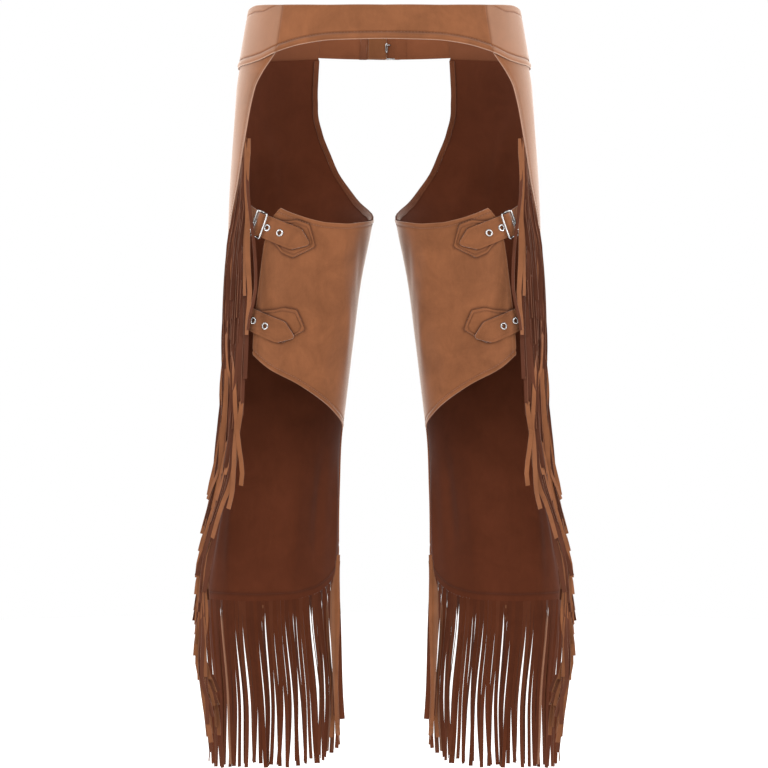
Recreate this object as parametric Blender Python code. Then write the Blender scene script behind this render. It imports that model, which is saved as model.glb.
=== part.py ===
"""Fringed suede chaps, worn open at the back, standing in their worn form with nobody inside.

Metres, +Z up. The origin is the middle of the waist, half way up the waistband, where the
wearer's hips hold it. +Y is the wearer's front, -Y the back, +X the wearer's right.
Right-hand pieces are modelled, and left-hand ones are the same with X turned round.

Every cloth piece lies on one form: level sections of the hips and the legs. A point on it has
a drop (metres below the top edge of the front belt), an angle (degrees: 0 back, 90 outer side,
180 front, 270 inner side, 360 back again) and a height that it stands proud of the form.
"""

import math

import bmesh
import bpy
from mathutils import Matrix, Vector

# ---------------------------------------------------------------- driving dimensions

BELT_TOP = 0.030         # top edge of the front belt above the origin
GAP = 0.0003             # between pieces that meet edge to edge
LAY = 0.0006             # under a piece that lies on another
PANEL = 0.0015           # thickness of the leg panels and thigh wraps
BAND = 0.0018            # thickness of the waistband and belt
BAND_LAP = 0.010         # how far the panels run up behind the waistband
BACK_SEAM = 47.0         # angle of the seam between back and side band
FRONT_SEAM = 151.0       # angle where the side band meets the belt
BELT_HEIGHT = 0.040
BINDING_WIDTH = 0.0075   # turned edge round the crotch cut-out
BINDING = 0.0010
FRINGE_LENGTH = 0.225    # hem strands
FRINGE_THICKNESS = 0.0020
SIDE_FRINGE_THICKNESS = 0.0045
HEADER_WIDTH = 0.012     # uncut strip of the side fringe, sewn inside the panel's edge

STRAP = 0.0014           # thickness of a thigh strap
PATCH = 0.0012           # thickness of the patch that holds its buckle
EYELET_RADIUS = 0.0050
EYELET_HOLE = 0.00275
EYELET_PITCH = 0.0203
BUCKLE_HALF_LENGTH = 0.0090
BUCKLE_HALF_HEIGHT = 0.0173
BUCKLE_WIRE = 0.0012     # radius
CENTRE_BAR = 0.0007      # radius
PRONG_WIRE = 0.0009      # radius

BELT_BUCKLE_LENGTH = 0.024
BELT_BUCKLE_HALF_HEIGHT = 0.0202
BELT_FOLD_BAR = 0.0009    # heel bar, above the outer face of the leg panels' layer
BELT_FRONT_BAR = 0.0054   # front bar, likewise
BELT_RIGHT_END = 0.031    # x where the belt's right half is sewn to the billet
BILLET_WIDTH = 0.035
BILLET_HOLE = 0.0085      # x of the hole that the prong goes through
BILLET_HOLE_RADIUS = 0.0025
KEEPER_MIDDLE = -0.0285   # x
KEEPER_WIDTH = 0.009
KEEPER_WALL = 0.0011
KEEPER_ROOM = 0.0004      # round the belt and billet that it holds

STRAP_CENTRE_BAR = 0.0335     # buckle's centre bar, along the strap from its middle eyelet
STRAP_BAR_HEIGHT = 0.0047     # centre bar above the form
STRAP_END_BAR_HEIGHT = 0.0080


def table(names, *rows):
    """A small table: each column's name gives the tuple of its values."""
    return dict(zip(names.split(), zip(*rows)))


# Level sections of one side: sheared ellipses. Down to the hips they are centred on the body,
# so both sides make one ring, and below that each leg has its own.
SECTIONS = table(
    "drop   centre  outer   half_depth skew",
    (-0.012, 0.0000, 0.1777, 0.1120, 0.00),
    (0.000, 0.0000, 0.1795, 0.1130, 0.00),
    (0.070, 0.0000, 0.1922, 0.1215, 0.00),
    (0.100, 0.0020, 0.1969, 0.1240, 0.00),
    (0.135, 0.0160, 0.2004, 0.1250, 0.00),
    (0.170, 0.0400, 0.2024, 0.1240, 0.01),
    (0.200, 0.0640, 0.2042, 0.1210, 0.04),
    (0.225, 0.0850, 0.2060, 0.1150, 0.09),
    (0.245, 0.0990, 0.2073, 0.1090, 0.15),
    (0.272, 0.1117, 0.2087, 0.1010, 0.22),
    (0.300, 0.1153, 0.2095, 0.0980, 0.24),
    (0.360, 0.1217, 0.2105, 0.0940, 0.25),
    (0.430, 0.1272, 0.2125, 0.0890, 0.25),
    (0.550, 0.1350, 0.2135, 0.0830, 0.22),
    (0.630, 0.1413, 0.2220, 0.0830, 0.17),
    (0.700, 0.1469, 0.2320, 0.0860, 0.12),
    (0.790, 0.1500, 0.2385, 0.0900, 0.08),
    (1.020, 0.1490, 0.2370, 0.0910, 0.08),
)

# Back edge of a leg panel: down the hip, out to the side, then straight down the leg.
PANEL_BACK = table(
    "drop   angle",
    (0.050, 45.0),
    (0.061, 48.3),
    (0.082, 54.8),
    (0.103, 58.6),
    (0.144, 60.7),
    (0.180, 61.5),
    (0.223, 62.0),
    (0.248, 65.3),
    (0.274, 71.5),
    (0.300, 78.0),
    (0.430, 82.0),
    (0.800, 86.0),
)

# Front edge of a leg panel: the crotch cut-out, then the inner seam.
PANEL_FRONT = table(
    "drop   angle",
    (0.040, 151.0),
    (0.084, 151.5),
    (0.112, 153.0),
    (0.143, 158.5),
    (0.171, 167.5),
    (0.198, 179.4),
    (0.224, 197.9),
    (0.245, 218.3),
    (0.258, 237.5),
    (0.267, 254.0),
    (0.276, 264.0),
    (0.290, 266.0),
    (0.800, 266.0),
)

# Upper and lower edges of the waistband, all round: it is tallest over the hips. Then the
# lower edge of a leg panel, with its rounded inner corner.
BAND_TOP = table(
    "angle  drop",
    (0.0, 0.0033),
    (20.0, 0.0021),
    (35.0, -0.0002),
    (50.0, -0.0036),
    (62.0, -0.0066),
    (70.0, -0.0080),
    (80.0, -0.0064),
    (90.0, -0.0012),
    (105.0, 0.0000),
    (151.0, 0.0000),
)
BAND_EDGE = table(
    "angle  drop",
    (0.0, 0.0480),
    (20.0, 0.0485),
    (34.0, 0.0520),
    (46.0, 0.0590),
    (58.0, 0.0680),
    (68.0, 0.0700),
    (100.0, 0.0700),
    (125.0, 0.0600),
    (151.0, 0.0520),
)
HEM_EDGE = table(
    "angle  drop",
    (86.0, 0.7770),
    (120.0, 0.7860),
    (165.0, 0.7915),
    (190.0, 0.7900),
    (215.0, 0.7810),
    (235.0, 0.7650),
    (250.0, 0.7450),
    (260.0, 0.7280),
    (266.0, 0.7160),
)

# Edges of a thigh wrap, which goes from the inner seam round the back of the thigh.
WRAP_TOP = table(
    "angle  drop",
    (266.0, 0.2730),
    (301.0, 0.2804),
    (320.0, 0.2836),
    (335.0, 0.2829),
    (348.0, 0.2790),
    (361.0, 0.2725),
    (374.5, 0.2637),
)
WRAP_FOOT = table(
    "angle  drop",
    (266.0, 0.5520),
    (296.5, 0.5336),
    (315.7, 0.5182),
    (331.6, 0.5050),
    (349.0, 0.4907),
    (373.6, 0.4726),
    (390.5, 0.4542),
)
WRAP_OUTER = table(
    "drop   angle",
    (0.2637, 374.5),
    (0.2740, 379.0),
    (0.3010, 384.5),
    (0.3560, 387.5),
    (0.4420, 391.0),
    (0.4542, 390.5),
)

# Reach of the side fringe. inner_x is where its back edge lies over the leg; the lifts are its
# clearance over the panel at its back and at its outer side.
SIDE_FRINGE = table(
    "drop   inner_x outer_angle inner_lift outer_lift weight",
    (0.174, 0.1745, 61.5, 0.0012, 0.0012, 0.40),
    (0.205, 0.1725, 60.0, 0.0030, 0.0012, 0.70),
    (0.240, 0.1700, 62.5, 0.0080, 0.0012, 0.90),
    (0.275, 0.1675, 70.0, 0.0115, 0.0012, 1.00),
    (0.300, 0.1675, 79.0, 0.0118, 0.0012, 1.00),
    (0.380, 0.1670, 92.0, 0.0135, 0.0012, 1.00),
    (0.480, 0.1685, 92.0, 0.0118, 0.0015, 1.00),
    (0.560, 0.1760, 92.0, 0.0080, 0.0030, 1.00),
    (0.620, 0.1840, 92.0, 0.0060, 0.0050, 1.00),
    (0.650, 0.1960, 92.0, 0.0040, 0.0060, 1.00),
    (0.690, 0.2140, 92.0, 0.0030, 0.0070, 1.00),
    (0.730, 0.2270, 93.0, 0.0025, 0.0080, 1.00),
    (0.765, 0.2290, 94.0, 0.0025, 0.0110, 1.00),
    (0.840, 0.2290, 94.0, 0.0030, 0.0110, 0.90),
    (0.960, 0.2270, 92.0, 0.0030, 0.0030, 0.60),
)

# Thigh straps: drop and angle of the middle eyelet, the slope up towards the outer side, and
# how far the patch's tip is above the strap's mid line.
STRAPS = table(
    "name     drop    angle  slope patch_lift",
    ("upper", 0.2960, 371.4, 21.0, 0.000),
    ("lower", 0.4165, 378.0, 21.0, 0.014),
)
# Along a strap, from the middle eyelet outwards: underside above the form. It lies on the
# patch, climbs over the buckle's centre bar, and ends sewn inside the panel's edge.
STRAP_RISE = table(
    "along    height",
    (-0.0420, 0.0038),
    (-0.0405, 0.0038),
    (-0.0335, 0.0038),
    (-0.0250, 0.0038),
    (-0.0205, 0.0038),
    (-0.0110, 0.0038),
    (-0.0020, 0.0038),
    (0.0070, 0.0038),
    (0.0150, 0.0038),
    (0.0262, 0.0038),
    (0.0320, 0.0077),
    (0.0350, 0.0077),
    (0.0465, 0.0018),
    (0.0560, 0.0002),
    (0.0680, -0.0014),
    (0.0800, -0.0030),
    (0.0900, -0.0034),
    (0.1000, -0.0034),
    (0.1100, -0.0034),
    (0.1180, -0.0034),
)
STRAP_OUTLINE = table(
    "along    half_width",
    (-0.0420, 0.0012),
    (-0.0405, 0.0032),
    (-0.0250, 0.0137),
    (-0.0205, 0.0145),
    (0.1180, 0.0145),
)
# Outline of the patch under a strap's tip: a spade, whose neck holds the buckle.
PATCH_OUTLINE = table(
    "along    half_width",
    (-0.0500, 0.0012),
    (-0.0485, 0.0030),
    (-0.0370, 0.0158),
    (-0.0290, 0.0228),
    (-0.0155, 0.0226),
    (-0.0035, 0.0178),
    (0.0060, 0.0150),
    (0.0180, 0.0125),
    (0.0330, 0.0120),
)

# Along the belt, x from the middle: the left end folds round the buckle's heel bar.
BELT_FOLD = table(
    "x        height",
    (-0.0120, 0.0009),
    (-0.0060, 0.0018),
    (0.0000, 0.00330),
    (0.0017, 0.00270),
    (0.0024, 0.00090),
    (0.0017, -0.00080),
    (0.0000, -0.00150),
    (-0.0060, -0.00120),
    (-0.0220, -0.00120),
)
BILLET_RISE = table(
    "x        height",
    (-0.0850, 0.0021),
    (-0.0180, 0.0021),
    (-0.0060, 0.0040),
    (0.0040, 0.0046),
    (0.0180, 0.0021),
    (0.0460, 0.0021),
)

CREASE_ANGLE = 40.0
TAN = (0.31, 0.125, 0.052)
TAN_LIGHT = (0.40, 0.19, 0.10)
BROWN = (0.12, 0.045, 0.022)
NICKEL = (0.62, 0.60, 0.58)


# ---------------------------------------------------------------- the form

def smooth(places, values, place):
    """The value at a place, on a smooth curve through the table that never overshoots it."""
    if place <= places[0]:
        return values[0]
    if place >= places[-1]:
        return values[-1]
    index = max(i for i in range(len(places) - 1) if places[i] <= place)
    steps = [b - a for a, b in zip(places, places[1:])]
    slopes = [(b - a) / step for a, b, step in zip(values, values[1:], steps)]

    def tangent(i):
        if i == 0 or i == len(places) - 1:
            return slopes[min(i, len(slopes) - 1)]
        before, after = slopes[i - 1], slopes[i]
        if before * after <= 0.0:
            return 0.0
        return 2.0 * before * after / (before + after)

    step = steps[index]
    t = (place - places[index]) / step
    return (
        (2 * t**3 - 3 * t**2 + 1) * values[index]
        + (t**3 - 2 * t**2 + t) * step * tangent(index)
        + (3 * t**2 - 2 * t**3) * values[index + 1]
        + (t**3 - t**2) * step * tangent(index + 1)
    )


def between(start, end, part):
    return start + (end - start) * part


def straight(places, values, place):
    """The value at a place, on straight lines between the table's rows."""
    for start, end, low, high in zip(places, places[1:], values, values[1:]):
        if place <= end:
            return between(low, high, (place - start) / (end - start))
    return values[-1]


def section(drop):
    """Centre, half width, half depth and skew of the level section at a drop."""
    drops = SECTIONS["drop"]
    centre = smooth(drops, SECTIONS["centre"], drop)
    outer = smooth(drops, SECTIONS["outer"], drop)
    half_depth = smooth(drops, SECTIONS["half_depth"], drop)
    skew = smooth(drops, SECTIONS["skew"], drop)
    return centre, outer - centre, half_depth, skew


def on_form(drop, angle, proud):
    """The point at a drop and an angle, standing proud of the form."""
    centre, half_width, half_depth, skew = section(drop)
    turn = math.radians(angle)
    x = centre + half_width * math.sin(turn)
    y = skew * half_width * math.sin(turn) - half_depth * math.cos(turn)
    along_x = half_width * math.cos(turn)
    along_y = skew * half_width * math.cos(turn) + half_depth * math.sin(turn)
    length = math.hypot(along_x, along_y)
    return Vector((
        x + proud * along_y / length,
        y - proud * along_x / length,
        BELT_TOP - drop,
    ))


def angle_per_metre(drop, angle):
    """How many degrees one metre round the section is worth at a place."""
    _, half_width, half_depth, skew = section(drop)
    turn = math.radians(angle)
    along_x = half_width * math.cos(turn)
    along_y = skew * half_width * math.cos(turn) + half_depth * math.sin(turn)
    return math.degrees(1.0) / math.hypot(along_x, along_y)


def angle_at_x(drop, x):
    """The angle on the outer back quarter where the form has this x."""
    centre, half_width, _, _ = section(drop)
    return math.degrees(math.asin(min(0.9999, (x - centre) / half_width)))


# ---------------------------------------------------------------- making solids

def material(name, colour, roughness, metallic=0.0):
    made = bpy.data.materials.get(name) or bpy.data.materials.new(name)
    made.use_nodes = True
    shader = made.node_tree.nodes["Principled BSDF"]
    shader.inputs["Base Color"].default_value = (*colour, 1.0)
    shader.inputs["Roughness"].default_value = roughness
    shader.inputs["Metallic"].default_value = metallic
    return made


def finish(bm, name, look):
    """Turn a bmesh into a named object, faces out, with its material."""
    bmesh.ops.recalc_face_normals(bm, faces=bm.faces[:])
    if bm.calc_volume(signed=True) < 0.0:
        bmesh.ops.reverse_faces(bm, faces=bm.faces[:])
    mesh = bpy.data.meshes.new(name)
    bm.to_mesh(mesh)
    bm.free()
    mesh.shade_smooth()
    mesh.set_sharp_from_angle(angle=math.radians(CREASE_ANGLE))
    piece = bpy.data.objects.new(name, mesh)
    bpy.context.scene.collection.objects.link(piece)
    mesh.materials.append(look)
    return piece


def bent_slab(name, columns, rows, place, look, side=1):
    """A flat slab, bent to its form: place(across, down, layer) gives each point, where across
    and down run from 0 to 1 and layer is 0 on the inner face and 1 on the outer."""
    bm = bmesh.new()
    bmesh.ops.create_grid(bm, x_segments=columns, y_segments=rows, size=0.5)
    raised = bmesh.ops.extrude_face_region(bm, geom=bm.faces[:])["geom"]
    raised_points = [part for part in raised if isinstance(part, bmesh.types.BMVert)]
    bmesh.ops.translate(bm, verts=raised_points, vec=(0.0, 0.0, 1.0))
    for vertex in bm.verts:
        vertex.co = place(vertex.co.x + 0.5, 0.5 - vertex.co.y, vertex.co.z)
        vertex.co.x *= side
    return finish(bm, name, look)


def wire(name, points, radius, look, closed=False, side=1):
    """A round wire through points: a tube with closed ends, or a closed ring."""
    curve = bpy.data.curves.new(name, "CURVE")
    curve.dimensions = "3D"
    curve.bevel_depth = radius
    curve.bevel_resolution = 1
    curve.use_fill_caps = not closed
    spline = curve.splines.new("POLY")
    spline.points.add(len(points) - 1)
    for knot, point in zip(spline.points, points):
        knot.co = (side * point.x, point.y, point.z, 1.0)
    spline.use_cyclic_u = closed
    piece = bpy.data.objects.new(name, curve)
    bpy.context.scene.collection.objects.link(piece)
    curve.materials.append(look)
    return piece


def drill(piece, name, centre, direction, radius, side=1):
    """Cut a round hole through a piece, along a direction."""
    cutter_bm = bmesh.new()
    bmesh.ops.create_cone(
        cutter_bm, cap_ends=True, segments=12, radius1=radius, radius2=radius, depth=0.008
    )
    aim = Vector((0.0, 0.0, 1.0)).rotation_difference(Vector((side * direction.x, *direction.yz)))
    place = Matrix.Translation((side * centre.x, centre.y, centre.z)) @ aim.to_matrix().to_4x4()
    bmesh.ops.transform(cutter_bm, matrix=place, verts=cutter_bm.verts[:])
    mesh = bpy.data.meshes.new(name)
    cutter_bm.to_mesh(mesh)
    cutter_bm.free()
    cutter = bpy.data.objects.new(name, mesh)
    bpy.context.scene.collection.objects.link(cutter)
    cutter.hide_render = True
    cutter.display_type = "WIRE"
    cut = piece.modifiers.new(name, "BOOLEAN")
    cut.operation = "DIFFERENCE"
    cut.object = cutter
    return cutter


def local_axes(place, along, across):
    """Axes of a small hard piece: the point, and the along, across and outward directions."""
    step = 0.001
    forward = place(along + step, across) - place(along - step, across)
    sideways = place(along, across + step) - place(along, across - step)
    outward = forward.cross(sideways).normalized()
    if outward.dot(Vector((0.0, -1.0, 0.0))) < 0.0 and place(along, across).y < 0.0:
        outward.negate()
    if outward.y < 0.0 and place(along, across).y > 0.0:
        outward.negate()
    return place(along, across), forward.normalized(), sideways.normalized(), outward


# ---------------------------------------------------------------- waistband

def band_edge(angle):
    return smooth(BAND_EDGE["angle"], BAND_EDGE["drop"], angle)


def band_point(angle, down, layer):
    """A point on the waistband; a negative angle is on the wearer's left."""
    turn = abs(angle)
    top = smooth(BAND_TOP["angle"], BAND_TOP["drop"], turn)
    point = on_form(between(top, band_edge(turn), down), turn, PANEL + LAY + BAND * layer)
    point.x *= math.copysign(1.0, angle)
    return point


def make_waistband(look):
    seam_gap = 0.5 * GAP * angle_per_metre(0.03, BACK_SEAM)

    def back(across, down, layer):
        return band_point(between(seam_gap - BACK_SEAM, BACK_SEAM - seam_gap, across), down, layer)

    def side_part(across, down, layer):
        return band_point(
            between(BACK_SEAM + seam_gap, FRONT_SEAM - seam_gap, across), down, layer
        )

    bent_slab("waistband_back", 14, 1, back, look)
    bent_slab("waistband_side_right", 20, 1, side_part, look)
    bent_slab("waistband_side_left", 20, 1, side_part, look, side=-1)


# ---------------------------------------------------------------- belt and its buckle

def on_belt(x, across, height):
    """A point on the front belt: x from the middle, across from its mid line, upwards."""
    drop = 0.5 * BELT_HEIGHT - across
    angle = 180.0 - x * angle_per_metre(0.02, 180.0)
    return on_form(drop, angle, PANEL + LAY + height)


def make_belt(look, metal):
    seam_gap = 0.5 * GAP * angle_per_metre(0.02, FRONT_SEAM)
    degrees = angle_per_metre(0.02, 180.0)

    def right(across, down, layer):
        angle = between(FRONT_SEAM + seam_gap, 180.0 - BELT_RIGHT_END * degrees, across)
        return on_form(BELT_HEIGHT * down, angle, PANEL + LAY + BAND * layer)

    fold_steps = len(BELT_FOLD["x"])
    run_columns = 8

    def left(across, down, layer):
        column = round(across * (run_columns + fold_steps - 1))
        if column < run_columns:
            start = FRONT_SEAM + seam_gap - 180.0
            end = BELT_FOLD["x"][0] * degrees
            angle = 180.0 - between(start, end, column / run_columns)
            half = 0.5 * BELT_HEIGHT
            if column == run_columns - 1:
                half = 0.5 * BILLET_WIDTH + 0.001
            return on_form(
                0.5 * BELT_HEIGHT - half * (1 - 2 * down), angle, PANEL + LAY + BAND * layer
            )
        step = column - run_columns
        x, height = BELT_FOLD["x"][step], BELT_FOLD["height"][step]
        before = max(0, step - 1)
        after = min(fold_steps - 1, step + 1)
        run = BELT_FOLD["x"][after] - BELT_FOLD["x"][before]
        rise = BELT_FOLD["height"][after] - BELT_FOLD["height"][before]
        length = math.hypot(run, rise)
        lean = (layer - 0.5) * BAND
        return on_belt(
            x - lean * rise / length,
            0.5 * BILLET_WIDTH * (1 - 2 * down),
            height + lean * run / length,
        )

    bent_slab("belt_right", 8, 1, right, look)
    bent_slab("belt_left", run_columns + fold_steps - 1, 1, left, look)

    def billet(across, down, layer):
        x = between(BILLET_RISE["x"][0], BILLET_RISE["x"][-1], across)
        tip = min(1.0, 0.12 + (x - BILLET_RISE["x"][0]) / 0.018)
        height = smooth(BILLET_RISE["x"], BILLET_RISE["height"], x)
        return on_belt(x, 0.5 * BILLET_WIDTH * tip * (1 - 2 * down), height + STRAP * layer)

    strap = bent_slab("belt_billet", 18, 1, billet, look)

    def billet_top(x, across):
        return on_belt(x, across, smooth(BILLET_RISE["x"], BILLET_RISE["height"], x))

    centre, _, _, outward = local_axes(billet_top, BILLET_HOLE, 0.0)
    drill(strap, "billet_hole_cutter", centre, outward, BILLET_HOLE_RADIUS)

    half = BELT_BUCKLE_HALF_HEIGHT
    corners = (
        (0.0, 1.0, BELT_FOLD_BAR), (0.004, 1.03, BELT_FOLD_BAR + 0.0004),
        (0.020, 1.03, BELT_FRONT_BAR), (BELT_BUCKLE_LENGTH, 0.92, BELT_FRONT_BAR),
    )
    upper = [on_belt(x, half * part, height) for x, part, height in corners]
    lower = [on_belt(x, -half * part, height) for x, part, height in reversed(corners)]
    wire("belt_buckle_frame", upper + lower, BUCKLE_WIRE, metal, closed=True)

    prong = ((0.0036, 0.0010), (0.0062, 0.0014), (0.0080, 0.0028), (0.0088, 0.0060),
             (0.0110, 0.0084), (0.0160, 0.0088), (0.0240, 0.0086), (0.0275, 0.0082))
    wire("belt_buckle_prong", [on_belt(x, 0.0, height) for x, height in prong], PRONG_WIRE, metal)
    make_keeper(look)


def make_keeper(look):
    """The loop on the belt's left end that holds the billet down."""
    low, high = -KEEPER_ROOM, BILLET_RISE["height"][0] + STRAP + KEEPER_ROOM
    half = 0.5 * BELT_HEIGHT + KEEPER_ROOM
    wall = KEEPER_WALL
    inner = ((-half, low), (-half, high), (half, high), (half, low))
    outer = ((-half - wall, low - wall), (-half - wall, high + wall),
             (half + wall, high + wall), (half + wall, low - wall))
    bm = bmesh.new()
    loops = []
    for x in (KEEPER_MIDDLE - 0.5 * KEEPER_WIDTH, KEEPER_MIDDLE + 0.5 * KEEPER_WIDTH):
        for ring in (inner, outer):
            loops.append([bm.verts.new(on_belt(x, across, height)) for across, height in ring])
    near_inner, near_outer, far_inner, far_outer = loops
    for first, second in (
        (near_inner, near_outer), (far_inner, far_outer),
        (near_inner, far_inner), (near_outer, far_outer),
    ):
        for index in range(4):
            following = (index + 1) % 4
            bm.faces.new((first[index], first[following], second[following], second[index]))
    finish(bm, "belt_keeper", look)


# ---------------------------------------------------------------- leg panels

PANEL_ROWS = (
    0.050, 0.075, 0.105, 0.135, 0.165, 0.190, 0.210, 0.226, 0.240, 0.252, 0.263, 0.274, 0.290,
    0.345, 0.420, 0.500, 0.580, 0.650, 0.710, 0.755, 0.790,
)
PANEL_COLUMNS = 22
TOP_FADE = 0.110      # the panel's rows follow the waistband's edge down to this drop
HEM_FADE = 0.580      # and the hem's edge from this one


def panel_row(down):
    """Drop of the panel's level rows: the row table, read evenly."""
    steps = len(PANEL_ROWS) - 1
    return smooth([i / steps for i in range(steps + 1)], PANEL_ROWS, down)


def panel_place(across, down):
    """Drop and angle of a point on a leg panel."""
    level = panel_row(down)
    back = smooth(PANEL_BACK["drop"], PANEL_BACK["angle"], level)
    front = smooth(PANEL_FRONT["drop"], PANEL_FRONT["angle"], level)
    angle = between(back, front, across)
    top = band_edge(min(angle, FRONT_SEAM)) - BAND_LAP
    hem = smooth(HEM_EDGE["angle"], HEM_EDGE["drop"], angle)
    top_part = max(0.0, (TOP_FADE - level) / (TOP_FADE - PANEL_ROWS[0]))
    hem_part = max(0.0, (level - HEM_FADE) / (PANEL_ROWS[-1] - HEM_FADE))
    drop = level + (top - PANEL_ROWS[0]) * top_part + (hem - PANEL_ROWS[-1]) * hem_part
    return drop, angle


def make_leg_panel(name, look, side):
    def place(across, down, layer):
        drop, angle = panel_place(across, down)
        return on_form(drop, angle, PANEL * layer)

    bent_slab(name, PANEL_COLUMNS, len(PANEL_ROWS) - 1, place, look, side)


def on_panel(across, down, height):
    """A point on a leg panel's flat facets: between the corners of the facet it falls in."""
    columns, rows = PANEL_COLUMNS, len(PANEL_ROWS) - 1
    column = min(columns - 1, int(across * columns))
    row = min(rows - 1, int(down * rows + 0.000001))
    right, low = across * columns - column, down * rows - row
    corner = [
        on_form(*panel_place((column + i) / columns, (row + j) / rows), height)
        for j in (0, 1) for i in (0, 1)
    ]
    return corner[0].lerp(corner[1], right).lerp(corner[2].lerp(corner[3], right), low)


def strip_width(edge, down, width):
    """Width across the panel, in parts of it, of a strip that follows one of its edges."""
    step = 0.5 / (len(PANEL_ROWS) - 1)
    above = on_panel(edge, max(0.0, down - step), 0.0)
    below = on_panel(edge, min(1.0, down + step), 0.0)
    inwards = on_panel(abs(edge - 0.02), down, 0.0) - on_panel(edge, down, 0.0)
    slant = inwards.normalized().cross((below - above).normalized()).length
    return 0.02 * width / (inwards.length * max(slant, 0.35))


def make_crotch_binding(name, look, side):
    """The turned edge inside the cut-out, from the waistband down to the inner seam."""
    first_row, last_row = 1, 12
    rows = len(PANEL_ROWS) - 1

    def place(across, down, layer):
        level = between(first_row, last_row, down) / rows
        width = strip_width(1.0, level, BINDING_WIDTH) * (1.0 - across)
        return on_panel(1.0 - width, level, -LAY - BINDING * (1.0 - layer))

    bent_slab(name, 1, last_row - first_row, place, look, side)


# ---------------------------------------------------------------- thigh wraps

WRAP_SEAM = 266.3


def wrap_place(across, down):
    """Drop and angle of a point on a thigh wrap: its outer edge leans, so the angle is
    found again once its drop is known."""
    angle = between(WRAP_SEAM, WRAP_OUTER["angle"][-1], across)
    for _ in range(4):
        top = smooth(WRAP_TOP["angle"], WRAP_TOP["drop"], angle)
        foot = smooth(WRAP_FOOT["angle"], WRAP_FOOT["drop"], angle)
        drop = between(top, foot, down)
        outer = smooth(WRAP_OUTER["drop"], WRAP_OUTER["angle"], drop)
        angle = between(WRAP_SEAM, outer, across)
    return drop, angle


def make_thigh_wrap(name, look, side):
    def place(across, down, layer):
        drop, angle = wrap_place(across, down)
        return on_form(drop, angle, PANEL * layer)

    bent_slab(name, 16, 8, place, look, side)


# ---------------------------------------------------------------- thigh straps

def on_strap(strap, along, across, height):
    """A point on a strap's own plane laid on the thigh: along towards the outer side, across
    upwards, height above the form."""
    slope = math.radians(strap["slope"])
    run = along * math.cos(slope) - across * math.sin(slope)
    rise = along * math.sin(slope) + across * math.cos(slope)
    start = strap["angle"]
    half_way = start + 0.5 * run * angle_per_metre(strap["drop"], start)
    angle = start + run * angle_per_metre(strap["drop"], half_way)
    return on_form(strap["drop"] - rise, angle, height)


def strap_rise(along):
    """Height of a strap's underside."""
    return straight(STRAP_RISE["along"], STRAP_RISE["height"], along)


def make_patch(name, strap, look, side):
    """The spade-shaped patch. Its neck goes under the buckle's centre bar and hooks over it."""
    bar_radius = CENTRE_BAR + LAY + 0.5 * PATCH
    flat_columns = 14
    hook_columns = 5
    flat_height = STRAP_BAR_HEIGHT - bar_radius
    tip = PATCH_OUTLINE["along"][0]

    def place(across, down, layer):
        column = round(across * (flat_columns + hook_columns))
        lean = (layer - 0.5) * PATCH
        if column <= flat_columns:
            along = between(tip, STRAP_CENTRE_BAR, column / flat_columns)
            height = flat_height + lean
        else:
            turn = math.radians(180.0 * (column - flat_columns) / hook_columns)
            along = STRAP_CENTRE_BAR + (bar_radius - lean) * math.sin(turn)
            height = STRAP_BAR_HEIGHT - (bar_radius - lean) * math.cos(turn)
        half = smooth(PATCH_OUTLINE["along"], PATCH_OUTLINE["half_width"], along)
        reach = min(0.0, (along - STRAP_CENTRE_BAR) / (STRAP_CENTRE_BAR - tip))
        across_strap = half * (1 - 2 * down) - strap["patch_lift"] * reach
        return on_strap(strap, along, across_strap, height)

    bent_slab(name, flat_columns + hook_columns, 2, place, look, side)


def make_strap(name, strap, look, metal, side):
    """The strap with its three eyelets."""
    last = len(STRAP_RISE["along"]) - 1

    def place(across, down, layer):
        along = STRAP_RISE["along"][round(across * last)]
        half = straight(STRAP_OUTLINE["along"], STRAP_OUTLINE["half_width"], along)
        return on_strap(strap, along, half * (1 - 2 * down), strap_rise(along) + STRAP * layer)

    def top(along, across):
        return on_strap(strap, along, across, strap_rise(along) + STRAP)

    piece = bent_slab(name, last, 1, place, look, side)
    for number in range(3):
        centre, forward, sideways, outward = local_axes(top, number * EYELET_PITCH, 0.0)
        drill(piece, f"{name}_cutter_{number + 1}", centre, outward, EYELET_HOLE, side)
        make_eyelet(f"{name}_eyelet_{number + 1}", centre, forward, sideways, outward, metal, side)


def make_eyelet(name, centre, forward, sideways, outward, metal, side):
    """A pressed ring round a hole: a flat-bottomed section, turned full circle."""
    bm = bmesh.new()
    profile = (
        (EYELET_HOLE + 0.0002, 0.0), (EYELET_RADIUS, 0.0),
        (EYELET_RADIUS - 0.0008, 0.0009), (EYELET_HOLE + 0.0010, 0.0009),
    )
    points = [bm.verts.new((radius, 0.0, height)) for radius, height in profile]
    bm.faces.new(points)
    edges = bm.edges[:]
    bmesh.ops.delete(bm, geom=bm.faces[:], context="FACES_ONLY")
    bmesh.ops.spin(
        bm, geom=edges, axis=(0, 0, 1), cent=(0, 0, 0), angle=2 * math.pi, steps=12,
        use_merge=True,
    )
    bmesh.ops.remove_doubles(bm, verts=bm.verts[:], dist=0.00001)
    for vertex in bm.verts:
        local = vertex.co.copy()
        vertex.co = centre + forward * local.x + sideways * local.y + outward * (local.z + GAP)
        vertex.co.x *= side
    finish(bm, name, metal)


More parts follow.
